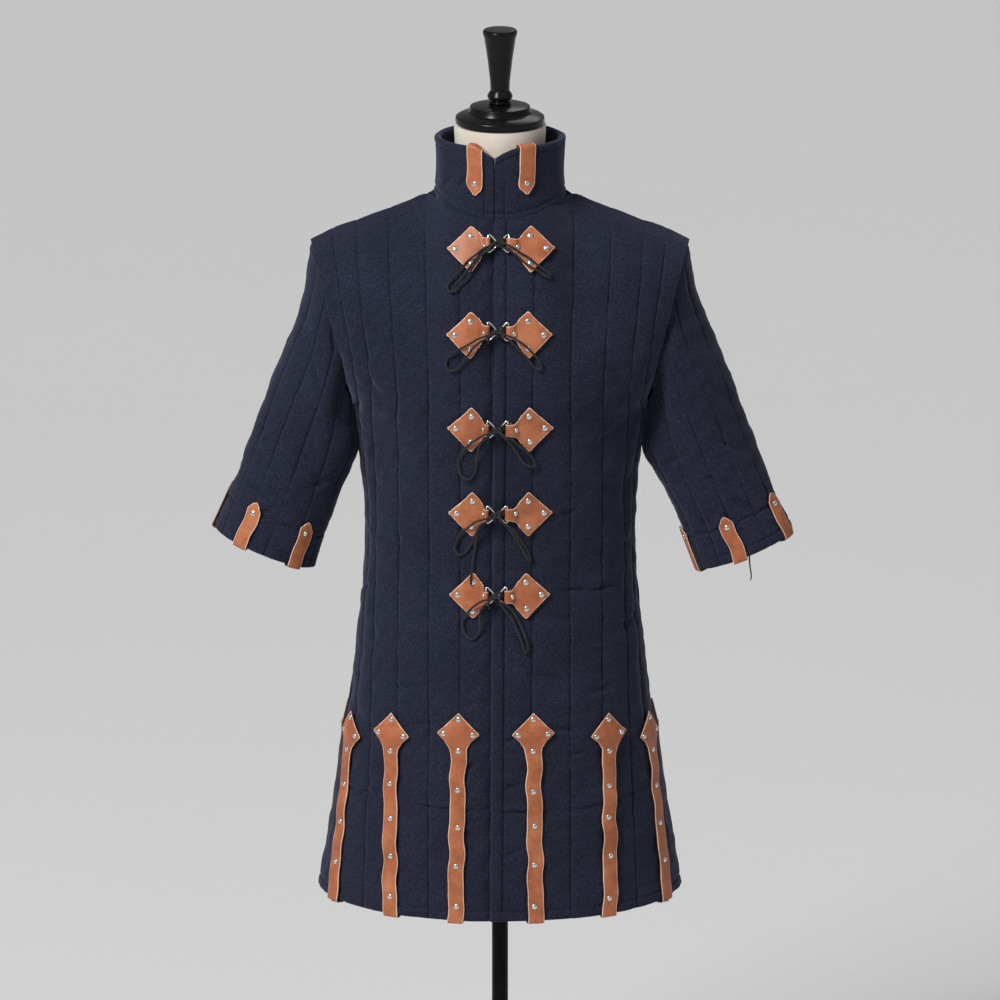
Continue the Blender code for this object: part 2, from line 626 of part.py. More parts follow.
# --- Leather laid on the cloth and folded over its free edges --------------------------------
Station = namedtuple("Station", "along height half_width column")


def read_grid(grid, row, column, closed):
    """Bilinear reading of a grid of points or normals."""
    rows, columns = grid.shape[:2]
    row = min(max(row, 0.0), rows - 1.000001)
    if not closed:
        column = min(max(column, 0.0), columns - 1.000001)
    r, c = int(math.floor(row)), int(math.floor(column))
    fr, fc = row - r, column - c
    next_c = (c + 1) % columns if closed else c + 1
    c = c % columns if closed else c
    low = (1 - fc) * grid[r, c] + fc * grid[r, next_c]
    high = (1 - fc) * grid[r + 1, c] + fc * grid[r + 1, next_c]
    return (1 - fr) * low + fr * high


def row_at(skin, distance, column):
    """Row reached after walking this far up a column from the free edge."""
    rows = skin.points.shape[0]
    track = np.array([read_grid(skin.points, row, column, skin.closed) for row in range(rows)])
    run = np.concatenate([[0.0], np.cumsum(np.linalg.norm(np.diff(track, axis=0), axis=1))])
    return float(np.interp(distance, run, np.arange(rows)))


def columns_per_metre(skin, row, column):
    step = 0.5
    a = read_grid(skin.points, row, column - step, skin.closed)
    b = read_grid(skin.points, row, column + step, skin.closed)
    return 2 * step / float(np.linalg.norm(b - a))


def on_cloth(skin, along_edge, across, height, column):
    """A point beside a column, this far from the free edge and this high off the cloth."""
    row = row_at(skin, max(along_edge, 0.0), column)
    column += across * columns_per_metre(skin, row, column)
    point = read_grid(skin.points, row, column, skin.closed)
    normal = read_grid(skin.normals, row, column, skin.closed)
    if along_edge < 0:
        near = read_grid(skin.points, 0.5, column, skin.closed)
        out = point - near
        point = point - out / np.linalg.norm(out) * along_edge
    return point + normal / np.linalg.norm(normal) * height


def offset_line(line, distance):
    """A 2D polyline moved to its left by this distance, with mitred corners."""
    line = [Vector(point) for point in line]
    moved = []
    for index, point in enumerate(line):
        before = (point - line[index - 1]).normalized() if index else None
        after = (line[index + 1] - point).normalized() if index + 1 < len(line) else None
        before = before or after
        after = after or before
        side = Vector((-before.y - after.y, before.x + after.x)).normalized()
        lean = max(side.dot(Vector((-after.y, after.x))), 0.5)
        moved.append(point + side * (distance / lean))
    return moved


def leather_strip(name, stations, place, collection, across_steps=4):
    """Leather along a line of stations, whose heights follow every fold."""
    line = [(station.along, station.height) for station in stations]
    faces = {}
    for face, distance in (("top", -LEATHER / 2), ("under", LEATHER / 2)):
        moved = offset_line(line, distance)
        faces[face] = np.array([[place(point.x, share * station.half_width, point.y, station.column)
                                 for share in np.linspace(-1, 1, across_steps + 1)]
                                for point, station in zip(moved, stations)])
    return slab(name, faces["top"], faces["under"], "tan_leather", collection)


def folded_end(width, column):
    """Stations over a free edge: down outside, round the edge, and up inside."""
    out = LEATHER_GAP + LEATHER / 2 + CREST_RISE / 3
    inside = -(CLOTH + out)
    return [Station(-out, out, width, column), Station(-out, inside, width, column),
            Station(0.004, inside, width, column), Station(FOLD_RETURN, inside, width, column)]


def column_at(skin, distance, arc):
    """Column that lies this far round the coat from the middle of its panel."""
    row = row_at(skin, distance, 0)
    z = read_grid(skin.points, row, 0, False)[2]
    depth_field = "front" if skin.normals[0, 0, 1] < 0 else "back"
    heights = column_of(RINGS, "z")
    curve = quarter_ring(z, float(smooth(heights, column_of(RINGS, "half_width"), z)),
                         float(smooth(heights, column_of(RINGS, depth_field), z)))
    arcs = arcs_at(length_of(curve))
    return float(np.interp(arc, arcs, np.arange(len(arcs))))


def make_hem_strap(strap, skin, collection):
    """A square head set on its corner, then a strap down to the hem and folded round it."""
    out = LEATHER_GAP + LEATHER / 2
    head = strap.head_z - RINGS[0].z
    neck = head - HEAD_HALF + STRAP_WIDTH / 2
    reaches = [(head + HEAD_HALF, 0.0012), (head + HEAD_HALF * 0.55, HEAD_HALF * 0.45),
               (head, HEAD_HALF), (head - HEAD_HALF * 0.35, HEAD_HALF * 0.65),
               (neck, STRAP_WIDTH / 2)]
    rows = [z - RINGS[0].z for z in body_heights()[::-1] if 0.02 < z - RINGS[0].z < neck - 0.01]
    reaches += [(distance, STRAP_WIDTH / 2) for distance in rows]
    stations = []
    for distance, half in reaches:
        arc = strap.arc + (strap.head_arc - strap.arc) * min(distance / head, 1.0)
        rise = CREST_RISE if distance > neck - 0.002 else CREST_RISE / 3
        stations.append(Station(distance, out + rise, half, column_at(skin, distance, arc)))
    stations += folded_end(STRAP_WIDTH / 2, column_at(skin, 0.0, strap.arc))

    def place(distance, across, height, column):
        return on_cloth(skin, distance, across * turn, height, column)

    turn = -1 if strap.side in (("front", "left"), ("back", "right")) else 1
    leather_strip(strap.name, stations, place, collection)


def tab_stations(length, width, column):
    """A pointed tab, from its point to the fold over the free edge."""
    out = LEATHER_GAP + LEATHER / 2 + CREST_RISE / 2
    point = width * 0.55
    outline = ((length, 0.0010), (length - point * 0.5, width * 0.27), (length - point, width / 2),
               (length * 0.55, width * 0.47), (length * 0.28, width * 0.46), (0.008, width * 0.47))
    stations = [Station(distance, out, half, column) for distance, half in outline]
    return stations + folded_end(width * 0.47, column)


def cuff_column(skin, start, share):
    """Column at an arc from the cuff's outer point, plus this share of the way round."""
    cuff = np.concatenate([skin.points[0], skin.points[0, :1]])
    if skin.points[0, 0, 0] < 0:
        cuff = cuff[::-1]
    run = np.concatenate([[0.0], np.cumsum(np.linalg.norm(np.diff(cuff, axis=0), axis=1))])
    return float(np.interp((start + share * run[-1]) % run[-1], run, np.arange(len(run))))


def make_tabs(collar, sleeves, collection):
    """The two tabs over the collar's edge and those over each cuff."""
    def placed_on(skin, turn):
        return lambda distance, across, height, column: on_cloth(skin, distance, across * turn,
                                                                 height, column)

    for side, angle in COLLAR_TAB_ANGLE.items():
        column = (angle % 360) / 360 * COLLAR_COLUMNS
        leather_strip("collar_tab_" + side, tab_stations(COLLAR_TAB, COLLAR_TAB_WIDTH, column),
                      placed_on(collar, 1), collection)
    for side, skin in sleeves.items():
        for order in range(CUFF_TABS):
            column = cuff_column(skin, CUFF_TAB_START[side], order / CUFF_TABS)
            column *= 1 if side == "left" else -1
            leather_strip("cuff_tab_%s_%d" % (side, order + 1),
                          tab_stations(CUFF_TAB, CUFF_TAB_WIDTH, column),
                          placed_on(skin, 1), collection)


# --- Closures ------------------------------------------------------------------------------
def opening_at(z):
    share = (z - RINGS[0].z) / (CENTRE_FRONT[-1].z - RINGS[0].z)
    return OPENING_X[0] + (OPENING_X[1] - OPENING_X[0]) * share


def front_reader(skins):
    """Reads the front of the coat from straight ahead: depth at a given x and z."""
    triangles = []
    vertices = []
    for side in ("right", "left"):
        grid = skins[("front", side)].points
        rows, columns = grid.shape[:2]
        start = len(vertices)
        vertices += [Vector(point) for point in grid.reshape(-1, 3)]
        for row in range(rows - 1):
            for column in range(columns - 1):
                corner = start + row * columns + column
                triangles.append((corner, corner + 1, corner + columns + 1, corner + columns))
    tree = BVHTree.FromPolygons(vertices, triangles)

    def read(x, z):
        hit = tree.ray_cast(Vector((x, -1.0, z)), Vector((0, 1, 0)))[0]
        return hit if hit else Vector((x, -CENTRE_FRONT[-1].depth, z))

    return read


def closure_frame(read, height):
    """Maps distances across, up the cloth and off it, from a closure's tie, to points."""
    middle = opening_at(height) + CLOSURE_SHIFT
    low, high = read(middle, height - 0.02), read(middle, height + 0.02)
    slope = (high - low).normalized()
    normal = Vector((0, -slope.z, slope.y))
    if normal.y > 0:
        normal = -normal

    def place(across, up, off):
        return read(middle + across, height + up * slope.z) + normal * off

    return place


def make_patch(name, sign, reach, drop, place, collection):
    """A square patch on its corner whose neck folds round the bar of its ring."""
    out = LEATHER_GAP + LEATHER / 2 + CREST_RISE / 2
    wrap = RING_WIRE + RING_ROOM + LEATHER / 2
    neck = max(reach - PATCH_HALF * 0.62, PATCH_END + 0.0035)
    shape = [(reach + PATCH_HALF, out, 0.0010), (reach + PATCH_HALF * 0.5, out, PATCH_HALF * 0.5),
             (reach, out, PATCH_HALF), (reach - PATCH_HALF * 0.3, out, PATCH_HALF * 0.7),
             (neck, RING_HEIGHT + wrap * 0.8, PATCH_NECK)]
    for degrees in (95, 150, 210, 265):
        turn = math.radians(degrees)
        shape.append((PATCH_END + wrap * math.cos(turn), RING_HEIGHT + wrap * math.sin(turn),
                      PATCH_NECK))
    shape.append((PATCH_END + 0.0050, RING_HEIGHT - wrap - 0.0004, PATCH_NECK))
    stations = [Station(distance, height, half, 0) for distance, height, half in shape]

    def on_front(distance, across, height, column):
        sunk = drop * min(max((distance - PATCH_END) / (reach - PATCH_END), 0.0), 1.0)
        return place(sign * distance, sign * across - sunk, height)

    leather_strip(name, stations, on_front, collection)


def wire(name, points, radius, finish, collection, cyclic=False, sides=2):
    """A bevelled poly curve through the points."""
    curve = bpy.data.curves.new(name, "CURVE")
    curve.dimensions = "3D"
    curve.bevel_depth = radius
    curve.bevel_resolution = sides
    curve.use_fill_caps = not cyclic
    spline = curve.splines.new("POLY")
    spline.points.add(len(points) - 1)
    for point, position in zip(spline.points, points):
        point.co = (*position, 1.0)
    spline.use_cyclic_u = cyclic
    return add_object(name, curve, finish, collection)


def make_ring(name, sign, place, collection):
    """A D-shaped ring whose bar lies in the fold of its patch."""
    points = []
    corner = 0.0012
    for share in (-1, 0, 1):
        points.append((PATCH_END, share * (RING_HALF - corner) + RING_RISE))
    for step in range(9):
        share = 0.96 - 1.92 * step / 8
        points.append((PATCH_END - corner - (RING_REACH - corner) * (1 - abs(share) ** 1.3),
                       RING_HALF * share + RING_RISE * abs(share)))
    flat = [place(sign * t, up, RING_HEIGHT) for t, up in points]
    wire(name, flat, RING_WIRE, "ring_steel", collection, cyclic=True, sides=1)


def spread(points, step):
    """Points every step along a smooth curve through the given ones."""
    fine = []
    count = len(points)
    for index in range(count - 1):
        p0, p1 = points[max(index - 1, 0)], points[index]
        p2, p3 = points[index + 1], points[min(index + 2, count - 1)]
        for part in range(12):
            t = part / 12
            fine.append(0.5 * ((2 * p1) + (p2 - p0) * t + (2 * p0 - 5 * p1 + 4 * p2 - p3) * t * t
                               + (3 * p1 - p0 - 3 * p2 + p3) * t ** 3))
    fine.append(points[-1])
    fine = np.array(fine)
    total = length_of(fine)
    return along(fine, np.linspace(0.0, total, max(2, round(total / step)) + 1))


def lace_route(bow, place):
    """The lace of one closure as points in space."""
    route = bow.tail + THROUGH_RINGS + bow.left + OVER_KNOT + bow.right + LACE_END
    return [np.array(place(point.x * MM, point.z * MM, point.height * MM)) for point in route]


def make_closures(skins, collection):
    """Five pairs of patches and rings, each pair tied with a lace."""
    read = front_reader(skins)
    for order, (closure, bow) in enumerate(zip(CLOSURES, BOWS), start=1):
        place = closure_frame(read, closure.height)
        for side, sign, reach in (("right", -1, closure.right), ("left", 1, closure.left)):
            make_patch("patch_%s_%d" % (side, order), sign, reach, closure.drop, place, collection)
            make_ring("ring_%s_%d" % (side, order), sign, place, collection)
        path = spread(lace_route(bow, place), LACE_STEP)
        wire("lace_%d" % order, path, LACE, "lace_black", collection)


# --- Dress form and stand ------------------------------------------------------------------
def turned(name, profile, finish, collection):
    """A solid of revolution; its profile runs from the axis back to the axis."""
    mesh = bpy.data.meshes.new(name)
    vertices = [(step.radius, 0.0, step.z) for step in reversed(profile)]
    mesh.from_pydata(vertices, [(i, i + 1) for i in range(len(vertices) - 1)], [])
    piece = add_object(name, mesh, finish, collection)
    screw = piece.modifiers.new("turn", "SCREW")
    screw.steps = TURNED_STEPS
    screw.render_steps = TURNED_STEPS
    screw.use_merge_vertices = True
    screw.merge_threshold = 0.0001
    screw.use_smooth_shade = True
    return piece


def make_form(collection):
    """The limbless torso with its neck: rings lofted from the hips to the neck cap."""
    mesh = bpy.data.meshes.new("form_torso")
    work = bmesh.new()
    loops = []
    for ring in FORM:
        loop = []
        for step in range(FORM_SIDES):
            turn = 2 * math.pi * step / FORM_SIDES
            loop.append(work.verts.new((ring.half_width * math.cos(turn),
                                        ring.half_depth * math.sin(turn), ring.z)))
        loops.append(loop)
    for low, high in zip(loops, loops[1:]):
        for step in range(FORM_SIDES):
            after = (step + 1) % FORM_SIDES
            work.faces.new((low[step], low[after], high[after], high[step]))
    work.faces.new(list(reversed(loops[0])))
    work.faces.new(loops[-1])
    work.to_mesh(mesh)
    work.free()
    mesh.shade_smooth()
    mesh.set_sharp_from_angle(angle=math.radians(40))
    add_object("form_torso", mesh, "form_jersey", collection)


def make_stand(collection):
    """Neck cap, turned finial, and the pole in its weighted base."""
    turned("neck_cap", CAP, "black_lacquer", collection)
    turned("finial", FINIAL, "black_lacquer", collection)
    turned("pole_and_base", STAND, "black_lacquer", collection)


def main():
    for old in list(bpy.data.objects):
        bpy.data.objects.remove(old)
    collection = bpy.data.collections.new("gambeson_on_dress_form")
    bpy.context.scene.collection.children.link(collection)
    skins = make_body(collection)
    sleeves = make_sleeves(collection)
    collar = make_collar(collection)
    for strap in HEM_STRAPS:
        make_hem_strap(strap, skins[strap.side], collection)
    make_tabs(collar, sleeves, collection)
    make_closures(skins, collection)
    wire("lace_cuff", spread([np.array(point) for point in CUFF_LACE_POINTS], LACE_STEP / 2),
         CUFF_LACE, "lace_black", collection)
    make_form(collection)
    make_stand(collection)


main()
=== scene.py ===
"""Looks of the quilted arming coat on its dress form.

The cloth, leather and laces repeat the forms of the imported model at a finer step: the same
tables give the same coarse grids, which are read here through smooth curves. Every surface is
then given its quilting, creases, stitches, rivets and finish.
"""
import math
import random
from collections import namedtuple

import bpy
import numpy as np
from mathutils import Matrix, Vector
from mathutils.bvhtree import BVHTree


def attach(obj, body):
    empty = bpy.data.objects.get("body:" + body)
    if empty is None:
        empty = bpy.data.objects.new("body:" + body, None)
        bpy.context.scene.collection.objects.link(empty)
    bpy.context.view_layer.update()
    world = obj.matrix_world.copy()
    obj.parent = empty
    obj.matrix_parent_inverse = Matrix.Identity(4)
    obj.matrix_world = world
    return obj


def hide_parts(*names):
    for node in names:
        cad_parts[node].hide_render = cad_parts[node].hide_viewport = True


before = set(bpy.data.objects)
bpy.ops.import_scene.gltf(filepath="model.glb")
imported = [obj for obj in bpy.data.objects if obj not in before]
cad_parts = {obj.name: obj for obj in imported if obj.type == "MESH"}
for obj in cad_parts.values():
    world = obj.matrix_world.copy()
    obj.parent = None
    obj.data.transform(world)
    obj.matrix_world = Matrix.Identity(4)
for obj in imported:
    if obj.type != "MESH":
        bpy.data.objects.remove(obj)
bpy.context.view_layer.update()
BODY = "root"
MM = 0.001

# --- Cloth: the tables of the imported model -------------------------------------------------
CLOTH = 0.008
CHANNEL = 0.048
FIXED_CHANNELS = 4
OPENING_X = (-0.0125, -0.0070)
ROUNDNESS = 1.95
Ring = namedtuple("Ring", "z half_width front back")
RINGS = (
    Ring(0.556, 0.2430, 0.150, 0.158),
    Ring(0.580, 0.2395, 0.149, 0.157),
    Ring(0.664, 0.2255, 0.147, 0.153),
    Ring(0.747, 0.2125, 0.144, 0.148),
    Ring(0.812, 0.2015, 0.140, 0.142),
    Ring(0.893, 0.1915, 0.131, 0.133),
    Ring(0.955, 0.1840, 0.125, 0.125),
    Ring(1.010, 0.1800, 0.122, 0.120),
    Ring(1.093, 0.1795, 0.125, 0.121),
    Ring(1.141, 0.1830, 0.130, 0.126),
    Ring(1.180, 0.1885, 0.135, 0.131),
    Ring(1.225, 0.1945, 0.139, 0.136),
)
HEM_LIFT = 0.006
ROWS_BELOW = 14
ROWS_ABOVE = 8
HALF_COLUMNS = 12         # columns of half a panel, from its centre to the side seam
Profile = namedtuple("Profile", "z depth")
CENTRE_FRONT = (Profile(1.225, 0.139), Profile(1.300, 0.141), Profile(1.370, 0.134),
                Profile(1.435, 0.114), Profile(1.494, 0.083))
CENTRE_BACK = (Profile(1.225, 0.136), Profile(1.310, 0.140), Profile(1.390, 0.132),
               Profile(1.460, 0.108), Profile(1.520, 0.072))
Seam = namedtuple("Seam", "x z")
SHOULDER = (Seam(0.0860, 1.5130), Seam(0.1345, 1.4950), Seam(0.1825, 1.4760),
            Seam(0.2300, 1.4575), Seam(0.2475, 1.4450))
ARMHOLE_DEPTH = 0.071
ARMHOLE_INSET = 0.006
SleeveRing = namedtuple("SleeveRing", "outer_x outer_z inner_x inner_z half_depth")
SLEEVES = {
    "right": (
        SleeveRing(0.2487, 1.4365, 0.1951, 1.2205, 0.0680),
        SleeveRing(0.2560, 1.3820, 0.1968, 1.1970, 0.0680),
        SleeveRing(0.2700, 1.3350, 0.1972, 1.1720, 0.0660),
        SleeveRing(0.3000, 1.2634, 0.2030, 1.1370, 0.0600),
        SleeveRing(0.3250, 1.1926, 0.2125, 1.1010, 0.0545),
        SleeveRing(0.3490, 1.1240, 0.2275, 1.0580, 0.0510),
        SleeveRing(0.3785, 1.0575, 0.2440, 1.0020, 0.0510),
    ),
    "left": (
        SleeveRing(0.2487, 1.4365, 0.1951, 1.2205, 0.0680),
        SleeveRing(0.2585, 1.3820, 0.1968, 1.1970, 0.0680),
        SleeveRing(0.2765, 1.3320, 0.1972, 1.1760, 0.0660),
        SleeveRing(0.3070, 1.2560, 0.2055, 1.1430, 0.0600),
        SleeveRing(0.3330, 1.1830, 0.2175, 1.1120, 0.0545),
        SleeveRing(0.3590, 1.1180, 0.2350, 1.0680, 0.0510),
        SleeveRing(0.3878, 1.0540, 0.2600, 1.0010, 0.0510),
    ),
}
SLEEVE_SIGN = {"right": -1, "left": 1}
SLEEVE_CHANNELS = 12
SLEEVE_INSET = 0.0085
SLEEVE_ROWS = 12
CollarRing = namedtuple("CollarRing", "rise half_width front back")
COLLAR = (
    CollarRing(0.00, 0.0860, 0.0830, 0.0720),
    CollarRing(0.30, 0.0835, 0.0805, 0.0715),
    CollarRing(0.65, 0.0835, 0.0785, 0.0735),
    CollarRing(1.00, 0.0855, 0.0775, 0.0750),
)
COLLAR_TOP = 1.588
COLLAR_NOTCH = 0.015
NOTCH_REACH = 0.026
COLLAR_SPLIT = 0.0006
COLLAR_COLUMNS = 32
COLLAR_ROWS = 5
COLLAR_LIFT = 0.0004

# --- Cloth: how the quilting lies -----------------------------------------------------------
HOLLOW = 0.0026           # how far the wadding sinks from the middle of a channel to its seam
CREASE = 0.0021           # further depth of the stitched crease itself
CREASE_WIDTH = 0.0015
PUCKER = 0.0010           # height of the ripples that the stitching draws beside a seam
PUCKER_REACH = 0.0085
PUCKER_FROM = 0.002       # they start this far from the stitches
UNEVEN = 0.0009           # slow unevenness of the wadding
BAND = 0.016              # the raised band along the left front's edge
EDGE_RISE = 0.0018        # the left front's band stands this much proud
EDGE_RECESS = 0.0058      # and the right front is drawn under it
EDGE_EASE = 0.003
RECESS_REACH = 0.015
HEM_BAND = 0.013
COLLAR_BAND = 0.009
COLLAR_FOOT = 0.006       # the collar's lower pressed line is this far above its foot
COLLAR_END = 0.013        # and its end rows of stitches are this far in
Line = namedtuple("Line", "depth width")
HEM_LINE = Line(0.0017, 0.0015)
BAND_LINE = Line(0.0022, 0.0014)
CUFF_LINE = Line(0.0026, 0.0022)
CUFF_EDGE_LINE = Line(0.0014, 0.0015)
COLLAR_LINE = Line(0.0016, 0.0013)
COLLAR_FOOT_LINE = Line(0.0014, 0.0024)
COLLAR_END_LINE = Line(0.0018, 0.0016)
BODY_LIMIT, SLEEVE_LIMIT = 0.0014, 0.0012   # the cloth rises no further than this
CUFF_SEAM = 0.046         # the cross seam lies this far above the cuff's edge
BAND_RISE = 0.0007
CAP_RISE, CAP_REACH, CAP_FROM = 0.0030, 0.022, 1.300   # the shoulder cap stands off the sleeve
CAP_EASE = 0.06
Bulge = namedtuple("Bulge", "rise column columns height reach")
VALLEY = Bulge(0.0110, 3.6, 1.1, 1.262, 0.062)      # a hollow beside the armhole seam
UNDERARM = Bulge(0.0130, 0.0, 3.4, 1.172, 0.042)    # the sleeve swells towards the body
SLEEVE_TUCK = ((0.0020, 0.0045, 0.0075), 0.0030)   # rows past the head, and how far they sink
COLLAR_TUCK = ((0.0015, 0.0030, 0.0050), 0.0018)
RIM = 0.0036              # radius of a free edge
TOP_RIM = 0.0009          # radius of an edge under the collar or on the shoulder
SEWN_RIM = 0.0024         # and of an edge that is sewn to a neighbour
CHANNEL_STEPS = (0.0, 0.045, 0.10, 0.17, 0.27, 0.42, 0.61, 0.81)
PER_COLUMN = 8            # samples of each column when the form is softened across
SMOOTHING_ACROSS = 30
TOP_ROWS = 1.5            # the sewn top edge keeps its own line
SMOOTHING = 90            # passes that soften the change of form at the underarm
EDGE_STEPS = (0.0, 0.02, 0.045, 0.075, 0.11, 0.15, 0.19, 0.22, 0.24, 0.256, 0.272, 0.295, 0.33,
              0.37, 0.41, 0.45, 0.50, 0.545, 0.59, 0.635, 0.68, 0.725, 0.77, 0.815, 0.86, 0.905, 0.95)
FRONT_ROWS, BACK_ROWS, SLEEVE_FINE_ROWS = 22, 20, 18     # rows of relief to one row of the tables
BAND_COLUMNS = (0.54, 0.60, 0.635, 0.665, 0.70, 0.74)    # further columns beside the edge band

SHOULDER_FADE, SHOULDER_LEFT = 0.050, 0.22   # the quilting flattens towards the shoulder seam
FOLD_DEPTH = 5.0          # scales every fold
FOLD_BEND = 1.1           # how strongly a fold curves away from its middle
Fold = namedtuple("Fold", "arc height length lean depth width")
